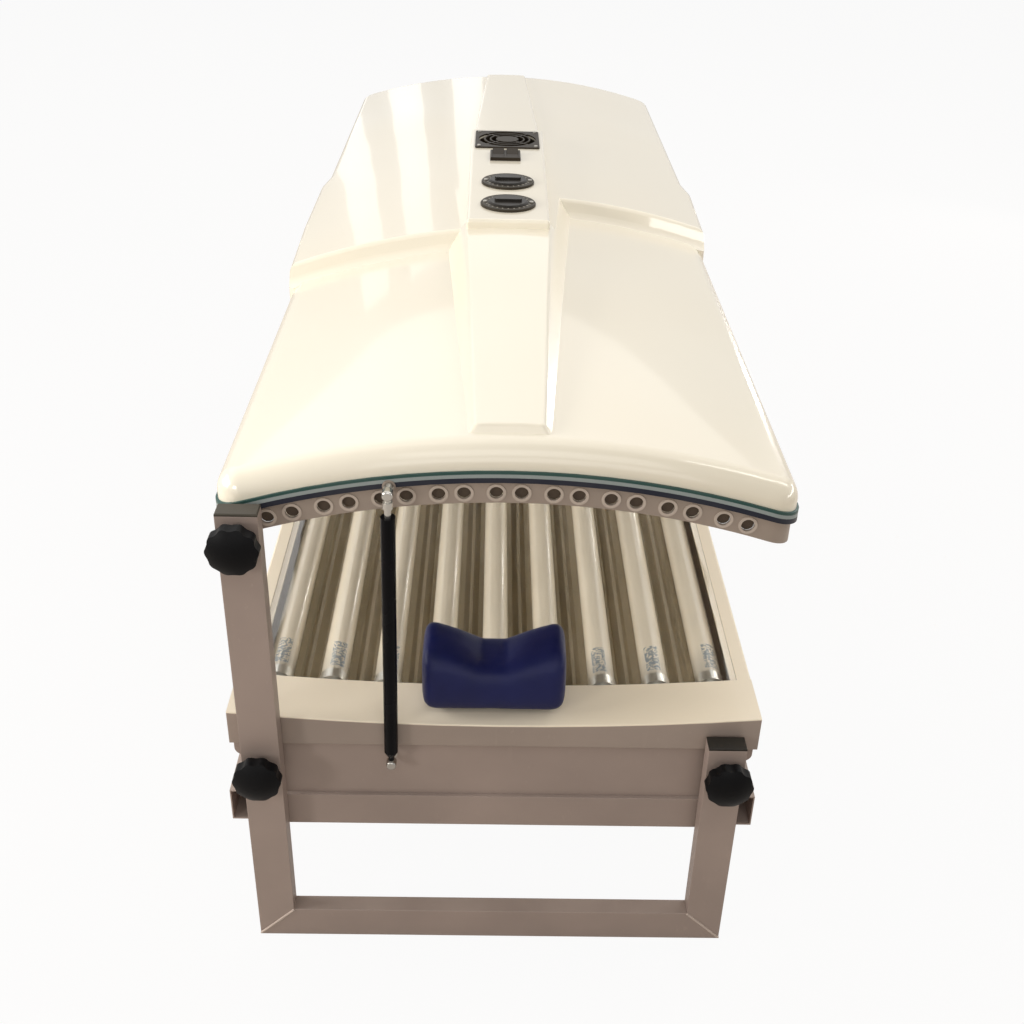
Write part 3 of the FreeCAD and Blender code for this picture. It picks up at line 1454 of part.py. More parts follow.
def neck_pillow():
    """A firm pillow with a scooped top, on the head-end strip."""
    x = frame_x + pillow_shift
    y = -bed_end + pillow_from_end
    base = dish(0.0)(x) + pillow_rest_gap
    top = base + pillow_height
    side = top - pillow_slope
    left, right = x - pillow_half_width, x + pillow_half_width
    start, end = x + pillow_scoop_half, x - pillow_scoop_half
    corners = [V(end, y, top), V(left, y, side), V(left, y, base), V(right, y, base), V(right, y, side),
               V(start, y, top)]
    lines = [Part.LineSegment(corners[index], corners[index + 1]).toShape() for index in range(5)]
    scoop = Part.Arc(V(start, y, top), V(x, y, top - pillow_scoop), V(end, y, top)).toShape()
    pillow = Part.Face(Part.Wire(lines + [scoop])).extrude(V(0, pillow_depth, 0))
    sides = edges_where(pillow, lambda p: abs(abs(p.x - x) - pillow_half_width) < near)
    upright = [edge for edge in sides if abs(edge.Vertexes[0].Z - edge.Vertexes[1].Z) > 1.0]
    return pillow.makeFillet(pillow_edge, upright)


save("neck_pillow", neck_pillow())
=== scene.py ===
# %% [markdown]
# # Dressing a clamshell tanning bed
# The construction comes in as a fixed frame: every tube, panel, knob and lamp is already there
# at its real size, in metres. This lesson gives each of them its finish, adds the soft neck
# pillow and the few small pieces that only the eye needs, and sets up light and camera.

# %% Load the frame
import bpy
import bmesh
import json
import math
from mathutils import Matrix, Vector

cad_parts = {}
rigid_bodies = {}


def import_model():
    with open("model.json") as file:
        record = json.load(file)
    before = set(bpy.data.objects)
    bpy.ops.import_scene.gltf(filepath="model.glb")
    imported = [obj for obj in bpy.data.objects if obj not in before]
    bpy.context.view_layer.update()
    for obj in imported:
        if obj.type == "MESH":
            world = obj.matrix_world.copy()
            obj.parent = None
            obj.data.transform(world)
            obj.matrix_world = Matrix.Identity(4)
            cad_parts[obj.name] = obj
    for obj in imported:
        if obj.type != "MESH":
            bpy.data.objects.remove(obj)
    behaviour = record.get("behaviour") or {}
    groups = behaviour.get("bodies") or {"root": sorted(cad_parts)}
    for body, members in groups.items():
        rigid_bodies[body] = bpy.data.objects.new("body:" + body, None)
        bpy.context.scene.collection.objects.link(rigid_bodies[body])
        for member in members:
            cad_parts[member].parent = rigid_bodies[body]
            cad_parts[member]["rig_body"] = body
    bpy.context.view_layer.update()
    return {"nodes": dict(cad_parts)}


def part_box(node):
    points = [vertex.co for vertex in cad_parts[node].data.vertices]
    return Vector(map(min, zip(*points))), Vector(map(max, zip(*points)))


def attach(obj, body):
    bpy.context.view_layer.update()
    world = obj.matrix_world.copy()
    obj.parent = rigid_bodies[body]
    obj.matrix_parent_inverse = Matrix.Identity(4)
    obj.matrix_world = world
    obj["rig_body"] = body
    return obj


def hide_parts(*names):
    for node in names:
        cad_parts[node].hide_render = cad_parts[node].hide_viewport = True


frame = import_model()
nodes = frame["nodes"]

# %% [markdown]
# ## Camera
# The bed is seen from its head end, from standing height, looking down at about thirty degrees.
# A camera looks along its own -Z with +Y up, so its turn is built from three directions: right,
# up and back. Roll is a small tilt of the head about the line of sight.

# %% Camera
camera_place = Vector((-0.0183, -2.2382, 1.4381))
camera_pitch = math.radians(30.61)
camera_yaw = math.radians(1.21)
camera_roll = math.radians(1.58)
camera_lens = 43.71

look = Vector((math.sin(camera_yaw) * math.cos(camera_pitch),
               math.cos(camera_yaw) * math.cos(camera_pitch),
               -math.sin(camera_pitch)))
flat_right = Vector((math.cos(camera_yaw), -math.sin(camera_yaw), 0.0))
flat_up = flat_right.cross(look)
right = flat_right * math.cos(camera_roll) + flat_up * math.sin(camera_roll)
up = flat_up * math.cos(camera_roll) - flat_right * math.sin(camera_roll)

camera_data = bpy.data.cameras.new("camera")
camera_data.lens = camera_lens
camera_data.sensor_width = 36.0
camera_data.clip_end = 100.0
camera = bpy.data.objects.new("camera", camera_data)
camera_turn = Matrix((right, up, -look)).transposed().to_4x4()
camera.matrix_world = Matrix.Translation(camera_place) @ camera_turn
bpy.context.scene.collection.objects.link(camera)
bpy.context.scene.camera = camera
print("camera looks along", [round(value, 3) for value in look])

# %% [markdown]
# ## Helpers for shader trees
# A shader tree is a list of nodes and the links between them. Short helpers keep the finishes
# below readable. The first ones feed a socket, add a node with its settings, write one sum and
# mix two colours. The next ones start a material with its shader and its coordinates, and lay
# colour, gloss and relief on it. Coordinates are the object's own, so a pattern stays put when
# a piece swings or turns.

# %% Nodes and sums


def feed(tree, socket, value):
    """Give an input socket its value: a link from another socket, or a constant."""
    if isinstance(value, bpy.types.NodeSocket):
        tree.links.new(value, socket)
    else:
        socket.default_value = value


def add_node(tree, kind, settings=None, **sockets):
    """Add a node, set its properties from settings and its input sockets from the rest.

    A socket goes by its name, with _ for a space, or by its number, as _0, _1 and so on.
    """
    node = tree.nodes.new(kind)
    for name, value in (settings or {}).items():
        setattr(node, name, value)
    for name, value in sockets.items():
        key = int(name[1:]) if name[0] == "_" else name.replace("_", " ")
        feed(tree, node.inputs[key], value)
    return node


def calc(tree, operation, first, second=0.0, third=0.0):
    """One sum: operation on one, two or three numbers or sockets."""
    return add_node(tree, "ShaderNodeMath", {"operation": operation},
                    _0=first, _1=second, _2=third).outputs[0]


def clamped(tree, value):
    """Keep a value from 0 to 1."""
    return calc(tree, "MINIMUM", calc(tree, "MAXIMUM", value, 0.0), 1.0)


def blend_colour(tree, share, first, second):
    """Mix two colours by a share from 0 to 1."""
    node = add_node(tree, "ShaderNodeMix", {"data_type": "RGBA"}, _0=share)
    for socket, colour in ((node.inputs[6], first), (node.inputs[7], second)):
        feed(tree, socket, (*colour, 1.0) if isinstance(colour, tuple) else colour)
    return node.outputs[2]


def stretched(tree, place, factors):
    """Coordinates times a factor on each axis; a factor under 1 draws a pattern out."""
    return add_node(tree, "ShaderNodeVectorMath", {"operation": "MULTIPLY"},
                    _0=place, _1=factors).outputs[0]


def noise(tree, place, scale, detail):
    """Soft random values from 0 to 1, as many cells to the metre as the scale says."""
    return add_node(tree, "ShaderNodeTexNoise", Vector=place, Scale=scale, Detail=detail).outputs[0]


def parts_of(tree, vector):
    """The X, Y and Z of a vector, each as a socket."""
    return add_node(tree, "ShaderNodeSeparateXYZ", Vector=vector).outputs


print("helpers for nodes and sums ready")

# %% Materials


def object_place(tree):
    """Where a point is on the object, in metres."""
    return add_node(tree, "ShaderNodeTexCoord").outputs["Object"]


def start_finish(name, colour, roughness, **shader_sockets):
    """A new material: its tree, its shader and the object's own coordinates."""
    material = bpy.data.materials.new(name)
    material.use_nodes = True
    material.diffuse_color = (*colour, 1.0)
    tree = material.node_tree
    shader = tree.nodes["Principled BSDF"]
    shader.inputs["Base Color"].default_value = (*colour, 1.0)
    shader.inputs["Roughness"].default_value = roughness
    for socket, value in shader_sockets.items():
        shader.inputs[socket.replace("_", " ")].default_value = value
    return material, tree, shader, object_place(tree)


def reopen(material):
    """The tree and the shader of a made finish, and the X, Y and Z of its coordinates."""
    tree = material.node_tree
    return tree, tree.nodes["Principled BSDF"], parts_of(tree, object_place(tree))


def shaded(colour, factor):
    """A colour made lighter or darker, kept within 1."""
    return tuple(min(part * factor, 1.0) for part in colour)


def paint(tree, shader, share, first, second):
    """Colour the shader with a mix of two colours."""
    tree.links.new(blend_colour(tree, share, first, second), shader.inputs["Base Color"])


def paint_over(tree, shader, share, colour):
    """Blend a colour over what already colours the shader."""
    paint(tree, shader, share, shader.inputs["Base Color"].links[0].from_socket, colour)


def vary_roughness(tree, shader, mask, span, least):
    """Let the roughness rise from least, where the mask is 0, by span, where it is 1."""
    tree.links.new(calc(tree, "MULTIPLY_ADD", mask, span, least), shader.inputs["Roughness"])


def raised(tree, shader, height, distance, strength=1.0):
    """Give the surface relief: a height from 0 to 1, and what 1 stands for in metres."""
    relief = add_node(tree, "ShaderNodeBump", Height=height, Distance=distance, Strength=strength)
    tree.links.new(relief.outputs[0], shader.inputs["Normal"])
    return relief


print("helpers for materials ready")

# %% [markdown]
# ## Light and floor
# Gloss needs something to reflect, so the light comes from soft boxes, which are area lights
# with a real size. A very wide box overhead lights everything evenly. A window box on the left
# and two narrow strips on the right draw long pale highlights along the moulding, and three
# tall strips beyond the foot end stand in its far half. Two fills and a small key bring up the
# head end, and a glint box behind the bed shines along its lamps. The box at the far right
# only fills: mirrors don't see it, because from the side it would show as a cut-off patch.
#
# The world and the floor are plain white to the camera, and partly so in mirrors, while what
# they send onto the bed stays moderate. The Light Path node tells which kind of ray asks.

# %% Soft boxes
bpy.context.scene.view_settings.view_transform = "Standard"
warm_white = (1.0, 0.97, 0.92)


def soft_box(name, place, target, width, height, watts):
    """An area light of a given size that faces a point."""
    data = bpy.data.lights.new(name, "AREA")
    data.shape = "RECTANGLE"
    data.size = width
    data.size_y = height
    data.energy = watts
    data.color = warm_white
    box_light = bpy.data.objects.new(name, data)
    facing = (Vector(target) - Vector(place)).to_track_quat("-Z", "Y")
    box_light.matrix_world = Matrix.Translation(place) @ facing.to_matrix().to_4x4()
    box_light.visible_camera = False
    bpy.context.scene.collection.objects.link(box_light)
    return box_light


# each box's place, the point it faces, its width, its height and its power
boxes = {
    "ceiling_box": ((0.0, 2.4, 3.4), (0.0, 2.0, 0.6), 9.0, 6.0, 125.0),
    "window_box": ((-2.4, -0.9, 1.4), (0.0, -0.5, 0.4), 1.5, 0.8, 46.0),
    "low_strip": ((2.2, -0.5, 0.95), (0.0, -0.5, 0.4), 2.2, 0.14, 8.0),
    "corner_strip": ((1.7, -0.5, 2.2), (0.3, -0.9, 0.6), 0.14, 1.6, 6.0),
    "high_fill": ((0.2, -2.7, 2.9), (0.0, -0.9, 0.4), 2.0, 1.4, 11.5),
    "front_fill": ((0.2, -3.6, 1.7), (0.0, -0.8, 0.4), 2.0, 1.0, 8.5),
    "left_key": ((-2.1, -2.9, 1.5), (0.0, -1.0, 0.35), 0.45, 0.45, 14.0),
    "lamp_glint": ((2.0, 2.6, 0.75), (0.0, -0.2, 0.5), 0.22, 0.85, 6.0),
    "far_right_box": ((2.7, 2.0, 2.3), (0.3, 0.8, 0.8), 1.0, 1.0, 24.0),
}
for number, strip_x in enumerate((-1.75, -1.1, -0.4)):
    boxes[f"far_strip_{number}"] = ((strip_x, 6.5, 1.9), (0.0, 0.6, 0.7), 0.34, 2.2, 1.7)
lights = {name: soft_box(name, *settings) for name, settings in boxes.items()}
lights["far_right_box"].visible_glossy = False
print("lights:", list(lights))

# %% World
world_colour = (1.0, 0.965, 0.92, 1.0)
world_strength = 0.30
world_in_mirrors = 0.60
white = (1.0, 1.0, 1.0, 1.0)


def seen_directly(tree, in_mirrors):
    """A mask: 1 for camera and see-through rays, a share in mirrors, 0 for light on surfaces."""
    path = add_node(tree, "ShaderNodeLightPath").outputs
    mirrored = calc(tree, "MULTIPLY", path["Is Glossy Ray"], in_mirrors)
    camera_or_mirror = calc(tree, "MAXIMUM", path["Is Camera Ray"], mirrored)
    return calc(tree, "MAXIMUM", camera_or_mirror, path["Is Transmission Ray"])


def mix_shaders(tree, share, first, second, output_kind):
    """Mix two shaders and put the result out."""
    mixed = add_node(tree, "ShaderNodeMixShader", Fac=share, _1=first.outputs[0],
                     _2=second.outputs[0])
    add_node(tree, output_kind, Surface=mixed.outputs[0])


world = bpy.data.worlds.new("studio")
bpy.context.scene.world = world
world.use_nodes = True
tree = world.node_tree
tree.nodes.clear()
fill_light = add_node(tree, "ShaderNodeBackground", Color=world_colour, Strength=world_strength)
white_back = add_node(tree, "ShaderNodeBackground", Color=white, Strength=1.0)
mix_shaders(tree, seen_directly(tree, world_in_mirrors), fill_light, white_back,
            "ShaderNodeOutputWorld")
print("world strength:", world_strength)

# %% Floor
floor_reach = 14.0
floor_drop = 0.0005
floor_colour = (0.56, 0.49, 0.42, 1.0)
floor_in_mirrors = 0.35
floor_whiteness = 0.94


def new_object(name, mesh):
    """Make an object of a bmesh and put it in the scene."""
    data = bpy.data.meshes.new(name)
    mesh.to_mesh(data)
    mesh.free()
    made = bpy.data.objects.new(name, data)
    bpy.context.scene.collection.objects.link(made)
    return made


floor_mesh = bmesh.new()
bmesh.ops.create_grid(floor_mesh, x_segments=1, y_segments=1, size=floor_reach)
floor = new_object("floor", floor_mesh)
floor.data.transform(Matrix.Translation((0.0, 0.0, -floor_drop)))

floor_paint = bpy.data.materials.new("floor_paint")
floor_paint.use_nodes = True
tree = floor_paint.node_tree
tree.nodes.clear()
floor_body = add_node(tree, "ShaderNodeBsdfDiffuse", Color=floor_colour)
floor_glow = add_node(tree, "ShaderNodeEmission", Strength=1.0)
floor_share = calc(tree, "MULTIPLY", seen_directly(tree, floor_in_mirrors), floor_whiteness)
mix_shaders(tree, floor_share, floor_body, floor_glow, "ShaderNodeOutputMaterial")
floor.data.materials.append(floor_paint)
print("floor", floor_reach * 2, "m square")

# %% [markdown]
# ## Shared effects
# Paint, moulded plastic and vinyl are never one even colour. Five effects are made once as node
# groups and reused with other values: *mottle* gives slow patches, *grain* the fine skin of a
# paint or moulding, *handling* short faint rubs and hairline marks, *settled dust* a veil on
# what faces up, and *edge normal and highlight* finds the edges. It compares the face's own
# direction with one that is smoothed round the edge. The smoothed one rounds the edge off in
# the shading, and the difference is a mask for a painted highlight along the edge. A group only
# puts out values. The shader itself stays in each material.

# %% Group helpers


def new_group(name, inputs, outputs):
    """An empty node group. Sockets are floats, except that Place and Normal are vectors."""
    group = bpy.data.node_groups.new(name, "ShaderNodeTree")
    for in_out, sockets in (("INPUT", inputs), ("OUTPUT", dict.fromkeys(outputs))):
        for socket_name, value in sockets.items():
            is_vector = socket_name in ("Place", "Normal")
            kind = "NodeSocketVector" if is_vector else "NodeSocketFloat"
            socket = group.interface.new_socket(socket_name, in_out=in_out, socket_type=kind)
            if value is not None:
                socket.default_value = value
    given = group.nodes.new("NodeGroupInput").outputs
    return group, given, group.nodes.new("NodeGroupOutput").inputs


def effect(tree, group, place, **values):
    """Place one of the groups in a material and return its first output."""
    return add_node(tree, "ShaderNodeGroup", {"node_tree": group}, Place=place, **values).outputs[0]


print("group helpers ready")

# %% Mottle and grain
mottle_group, given, result = new_group(
    "mottle", {"Place": None, "Scale": 6.0, "Contrast": 1.0, "Detail": 2.0}, ["Patches"])
clouds = noise(mottle_group, given["Place"], given["Scale"], given["Detail"])
centred = calc(mottle_group, "SUBTRACT", clouds, 0.5)
contrasted = calc(mottle_group, "MULTIPLY_ADD", centred, given["Contrast"], 0.5)
mottle_group.links.new(clamped(mottle_group, contrasted), result["Patches"])

broad_share = 0.22    # how coarse the grain's waviness is beside the grain itself
grain_group, given, result = new_group(
    "grain", {"Place": None, "Scale": 600.0, "Waviness": 0.3}, ["Height"])
fine = noise(grain_group, given["Place"], given["Scale"], 2.0)
broad_scale = calc(grain_group, "MULTIPLY", given["Scale"], broad_share)
broad = noise(grain_group, given["Place"], broad_scale, 1.0)
grain_group.links.new(calc(grain_group, "MULTIPLY_ADD", broad, given["Waviness"], fine),
                      result["Height"])


def roughened(tree, shader, place, scale, height, waviness=0.3):
    """Give the shader a fine skin: scale in grains per metre, height in metres."""
    skin = effect(tree, grain_group, place, Scale=scale, Waviness=waviness)
    return raised(tree, shader, skin, height)


print("groups:", mottle_group.name, grain_group.name)

# %% Handling marks
mark_stretches = (1.0, 0.05, 0.5), (0.6, 1.0, 0.04)
mark_gain, mark_start = 14.0, -9.6
rubbed_gain, rubbed_start = 4.0, -1.9

handling_group, given, result = new_group(
    "handling", {"Place": None, "Scale": 160.0, "Amount": 0.4}, ["Marks"])
group = handling_group
mark_layers = []
for stretch in mark_stretches:
    streaks = noise(group, stretched(group, given["Place"], stretch), given["Scale"], 1.0)
    crest = calc(group, "MULTIPLY_ADD", streaks, mark_gain, mark_start)
    mark_layers.append(clamped(group, crest))
where = noise(group, given["Place"], 5.0, 2.0)
here = calc(group, "MAXIMUM", calc(group, "MULTIPLY_ADD", where, rubbed_gain, rubbed_start), 0.0)
marks = calc(group, "MULTIPLY", calc(group, "MAXIMUM", *mark_layers), here)
marks = calc(group, "MINIMUM", calc(group, "MULTIPLY", marks, given["Amount"]), 1.0)
group.links.new(marks, result["Marks"])
print("handling marks in", len(mark_layers), "directions")

# %% Settled dust and worn edges
dust_group, given, result = new_group(
    "settled_dust", {"Place": None, "Amount": 0.3}, ["Veil"])
surface = add_node(dust_group, "ShaderNodeNewGeometry").outputs
facing_up = calc(dust_group, "MAXIMUM", parts_of(dust_group, surface["Normal"])["Z"], 0.0)
dust_noise = noise(dust_group, given["Place"], 14.0, 3.0)
cloud = calc(dust_group, "MULTIPLY", calc(dust_group, "POWER", facing_up, 3.0), dust_noise)
dust_group.links.new(calc(dust_group, "MULTIPLY", cloud, given["Amount"]), result["Veil"])

# This group's first output is a mask for a painted highlight along each edge; its second output
# rounds the edge in the shading.
edge_group, given, result = new_group(
    "edge_normal_and_highlight", {"Radius": 0.0016, "Gain": 4.0, "Most": 0.55}, ["Worn", "Normal"])
eased = add_node(edge_group, "ShaderNodeBevel", {"samples": 4}, Radius=given["Radius"]).outputs[0]
flat = add_node(edge_group, "ShaderNodeNewGeometry").outputs["True Normal"]
alike = add_node(edge_group, "ShaderNodeVectorMath", {"operation": "DOT_PRODUCT"},
                 _0=eased, _1=flat).outputs["Value"]
unlike = calc(edge_group, "SUBTRACT", 1.0, alike)
painted_highlight = calc(edge_group, "MULTIPLY", unlike, given["Gain"])
edge_group.links.new(calc(edge_group, "MINIMUM", painted_highlight, given["Most"]), result["Worn"])
edge_group.links.new(eased, result["Normal"])
print("groups:", sorted(made.name for made in bpy.data.node_groups))

# %% [markdown]
# ## Gloss cream moulding
# The canopy's shell and the strips round the lying surface are formed from acrylic-capped sheet:
# a deep, clean gloss over a warm cream. A coat layer carries the mirror-like highlight. A very
# broad, shallow ripple in the surface bends those highlights the way a formed sheet does.

# %% Cream moulding
shell_cream = (0.92, 0.865, 0.735)
strip_cream = (0.96, 0.87, 0.72)
cream_depths = (0.97, 0.945, 0.90)    # what is left of red, green and blue in a deeper patch


def cream_moulding(name, colour, roughness, coat, ripple):
    """Coated cream sheet; ripple is the height of its slow waves."""
    material, tree, shader, place = start_finish(name, colour, roughness, Coat_Weight=coat,
                                                 Coat_Roughness=0.05, Specular_IOR_Level=0.5)
    patches = effect(tree, mottle_group, place, Scale=2.6, Contrast=1.6, Detail=0.5)
    deeper = tuple(part * depth for part, depth in zip(colour, cream_depths))
    paint(tree, shader, patches, colour, deeper)
    vary_roughness(tree, shader, patches, 0.08, roughness - 0.04)
    relief = raised(tree, shader, noise(tree, place, 4.0, 0.0), ripple)
    tree.links.new(relief.outputs[0], shader.inputs["Coat Normal"])
    return material


canopy_cream = cream_moulding("canopy_cream", shell_cream, 0.24, 0.8, 0.0012)
bed_cream = cream_moulding("bed_cream", strip_cream, 0.36, 0.15, 0.0006)
print("cream finishes made")

# %% [markdown]
# ## Stoved paint on steel
# The end frames, rails, tray and panels are mild steel under a satin taupe paint. Close up such
# paint has an orange-peel skin; from further off it shows slow patches, faint handling marks and
# a little dust on its upper faces. Every edge gets a painted highlight, a lighter line, and there
# the normal is smoothed as well, so that the edge catches the light like a rolled one.

# %% Paint
dust_taupe = (0.60, 0.54, 0.48)


def steel_paint(name, colour, roughness=0.42):
    """Satin paint with patches, handling marks, dust and a painted highlight along every edge."""
    material, tree, shader, place = start_finish(name, colour, roughness, Specular_IOR_Level=0.45)
    patches = effect(tree, mottle_group, place, Scale=7.0, Contrast=1.6, Detail=3.0)
    marks = effect(tree, handling_group, place, Scale=150.0, Amount=0.35)
    veil = effect(tree, dust_group, place, Amount=0.18)
    edges = add_node(tree, "ShaderNodeGroup", {"node_tree": edge_group}).outputs
    paint(tree, shader, patches, shaded(colour, 0.86), shaded(colour, 1.07))
    paint_over(tree, shader, marks, shaded(colour, 1.25))
    paint_over(tree, shader, veil, dust_taupe)
    # painted highlight: every edge is lightened, standing in for light caught along it
    paint_over(tree, shader, edges["Worn"], shaded(colour, 1.55))
    vary_roughness(tree, shader, patches, 0.12, roughness - 0.06)
    relief = roughened(tree, shader, place, 520.0, 0.00007, 0.8)
    tree.links.new(edges["Normal"], relief.inputs["Normal"])
    return material


frame_paint = steel_paint("frame_paint", (0.365, 0.290, 0.257))
fascia_paint = steel_paint("fascia_paint", (0.365, 0.297, 0.258), 0.40)
plate_paint = steel_paint("plate_paint", (0.36, 0.295, 0.25), 0.40)
tray_paint = steel_paint("tray_paint", (0.66, 0.59, 0.51), 0.45)
print("paint finishes made")

# %% [markdown]
# ## Striped edge trim
# A co-extruded profile runs round the shell's lower edge in three bands. The edge is an arch, so
# the bands follow a circle: the distance of a point from the arch's axis, less the arch's radius,
# tells how high it is in the profile. A stepped colour ramp then paints the bands.

# %% Trim stripes
arch_axis_x = 0.0045
arch_axis_z = -0.35803
arch_radius = 1.08503
trim_height = 0.015
navy = (0.006, 0.009, 0.026)
pale_blue = (0.31, 0.36, 0.365)
sea_green = (0.020, 0.075, 0.068)
pale_from, green_from = 0.44, 0.76    # where the upper two bands begin, in trim heights
stripe_haze = (0.30, 0.30, 0.28)


def distance_of(tree, first, second):
    """The length of the way that goes first and second at a right angle."""
    squared = calc(tree, "MULTIPLY", second, second)
    return calc(tree, "SQRT", calc(tree, "MULTIPLY_ADD", first, first, squared))


trim_stripes, tree, shader, place = start_finish("trim_stripes", navy, 0.34,
                                                 Specular_IOR_Level=0.2)
parts = parts_of(tree, place)
from_axis = distance_of(tree, calc(tree, "SUBTRACT", parts["X"], arch_axis_x),
                        calc(tree, "SUBTRACT", parts["Z"], arch_axis_z))
lift = calc(tree, "SUBTRACT", from_axis, arch_radius)
ramp = add_node(tree, "ShaderNodeValToRGB", Fac=calc(tree, "DIVIDE", lift, trim_height))
bands = ramp.color_ramp
bands.interpolation = "CONSTANT"
bands.elements[0].color = (*navy, 1.0)
bands.elements[1].position = pale_from
bands.elements[1].color = (*pale_blue, 1.0)
bands.elements.new(green_from).color = (*sea_green, 1.0)
stripe_patches = effect(tree, mottle_group, place, Scale=20.0, Contrast=1.0)
paint(tree, shader, calc(tree, "MULTIPLY", stripe_patches, 0.12), ramp.outputs["Color"],
      stripe_haze)
roughened(tree, shader, place, 300.0, 0.00003)
print("trim bands:", len(bands.elements))

# %% [markdown]
# ## Black and grey plastics
# Knobs, caps, timers and the switch are moulded in black. Moulded black is never black all
# through: it is a very dark grey whose skin is finely grained, lighter where hands rub it.

# %% Plastics


def moulded_plastic(name, colour, roughness, rubbed, grain_scale=900.0, grain_height=0.00006,
                    shine=0.2):
    """Grained plastic that turns from colour to rubbed in patches, with a trace of dust."""
    material, tree, shader, place = start_finish(name, colour, roughness, Specular_IOR_Level=shine)
    patches = effect(tree, mottle_group, place, Scale=18.0, Contrast=1.5)
    veil = effect(tree, dust_group, place, Amount=0.10)
    dusty = tuple(part * 0.8 + 0.05 for part in rubbed)
    paint(tree, shader, patches, colour, rubbed)
    paint_over(tree, shader, calc(tree, "MULTIPLY", veil, 0.4), dusty)
    vary_roughness(tree, shader, patches, 0.14, roughness - 0.05)
    roughened(tree, shader, place, grain_scale, grain_height)
    return material


knob_black = moulded_plastic("knob_black", (0.003, 0.003, 0.0035), 0.40,
                             (0.008, 0.008, 0.009), 700.0, 0.0001, 0.09)
cap_black = moulded_plastic("cap_black", (0.014, 0.012, 0.010), 0.42, (0.030, 0.026, 0.021))
console_black = moulded_plastic("console_black", (0.020, 0.015, 0.010), 0.34,
                                (0.040, 0.031, 0.022), shine=0.09)
dial_black = moulded_plastic("dial_black", (0.014, 0.012, 0.010), 0.28, (0.030, 0.026, 0.022))
vent_beige = moulded_plastic("vent_beige", (0.50, 0.43, 0.37), 0.36, (0.58, 0.50, 0.44))
holder_white = moulded_plastic("holder_white", (0.62, 0.57, 0.50), 0.45, (0.70, 0.65, 0.58))
bush_nylon = moulded_plastic("bush_nylon", (0.20, 0.19, 0.18), 0.45, (0.28, 0.27, 0.25))
print("plastics made")

# %% [markdown]
# ## Paler upper caps and dial ticks
# Two of the blacks get something more. The post caps turn paler above a height, so the caps of
# the tall posts are paler than those of the short ones. The plates of the two dials carry a ring
# of short ticks: the angle round the nearer dial, in tick steps, is compared with its nearest
# whole number, between an inner and an outer radius.

# %% Caps and dials
cap_change_z = 0.5
cap_upper_colour = (0.088, 0.078, 0.062)
dial_middle_x, dial_middle_y, dial_apart = 0.0045, -0.1805, 0.130
tick_inner, tick_outer, ticks_round = 0.0350, 0.0386, 24.0
tick_half = 0.11    # in tick steps
tick_gap = 0.009    # no ticks so near the dial's two side screws
tick_cream = (0.42, 0.39, 0.33)

tree, shader, parts = reopen(cap_black)
# the caps turn paler above cap_change_z
upper_share = calc(tree, "MULTIPLY", calc(tree, "GREATER_THAN", parts["Z"], cap_change_z), 0.8)
paint_over(tree, shader, upper_share, cap_upper_colour)

dial_plate = moulded_plastic("dial_plate", (0.030, 0.024, 0.016), 0.34, (0.055, 0.045, 0.032),
                             shine=0.10)
tree, shader, parts = reopen(dial_plate)
from_x = calc(tree, "SUBTRACT", parts["X"], dial_middle_x)
from_first = calc(tree, "SUBTRACT", parts["Y"], dial_middle_y)
which_dial = calc(tree, "ROUND", calc(tree, "DIVIDE", from_first, dial_apart))
from_y = calc(tree, "SUBTRACT", from_first, calc(tree, "MULTIPLY", which_dial, dial_apart))
reach = distance_of(tree, from_x, from_y)
turn = calc(tree, "MULTIPLY", calc(tree, "ARCTAN2", from_y, from_x), ticks_round / (2.0 * math.pi))
off_tick = calc(tree, "ABSOLUTE", calc(tree, "SUBTRACT", turn, calc(tree, "ROUND", turn)))
tick = calc(tree, "LESS_THAN", off_tick, tick_half)
for limit in (calc(tree, "GREATER_THAN", reach, tick_inner),
              calc(tree, "LESS_THAN", reach, tick_outer),
              calc(tree, "GREATER_THAN", calc(tree, "ABSOLUTE", from_y), tick_gap)):
    tick = calc(tree, "MULTIPLY", tick, limit)
paint_over(tree, shader, tick, tick_cream)
print("dial ticks:", int(ticks_round))

# %% [markdown]
# ## Bare and plated metal
# Studs and screws are bright zinc, the strut's rod is hard chrome, and the lamp caps and the
# reflector are aluminium. Metal is all in its roughness: drawing and rolling leave fine lines,
# so a noise stretched along the piece varies the roughness and the normal. The strut's cylinder
# is black plastic-coated steel, down to its plated lower eye.

# %% Metals
evenly = (1.0, 1.0, 1.0)


def drawn_metal(name, colour, roughness, line_stretch, line_scale, line_height=0.00002, metal=1.0):
    """Metal with fine lines, drawn out along the axes that have a small stretch."""
    material, tree, shader, place = start_finish(name, colour, roughness, Metallic=metal)
    lines = noise(tree, stretched(tree, place, line_stretch), line_scale, 3.0)
    patches = effect(tree, mottle_group, place, Scale=11.0, Contrast=1.5)
    paint(tree, shader, patches, colour, shaded(colour, 0.82))
    vary_roughness(tree, shader, lines, 0.16, roughness - 0.08)
    raised(tree, shader, lines, line_height)
    return material


zinc = drawn_metal("zinc_plate", (0.46, 0.44, 0.40), 0.30, evenly, 160.0)
chrome = drawn_metal("hard_chrome", (0.62, 0.60, 0.56), 0.20, (1.0, 1.0, 0.05), 220.0,
                     0.000002, 0.9)
cap_aluminium = drawn_metal("cap_aluminium", (0.72, 0.71, 0.68), 0.34, (1.0, 0.1, 1.0), 240.0)
reflector_metal = drawn_metal("reflector_metal", (0.70, 0.63, 0.50), 0.20, (1.0, 0.004, 1.0),
                              110.0, 0.00001, 0.7)
strap_metal = drawn_metal("strap_metal", (0.58, 0.58, 0.57), 0.42, evenly, 60.0)
choke_lacquer = moulded_plastic("choke_lacquer", (0.035, 0.034, 0.036), 0.40,
                                (0.07, 0.066, 0.06), 260.0, 0.0002)
print("metals made")

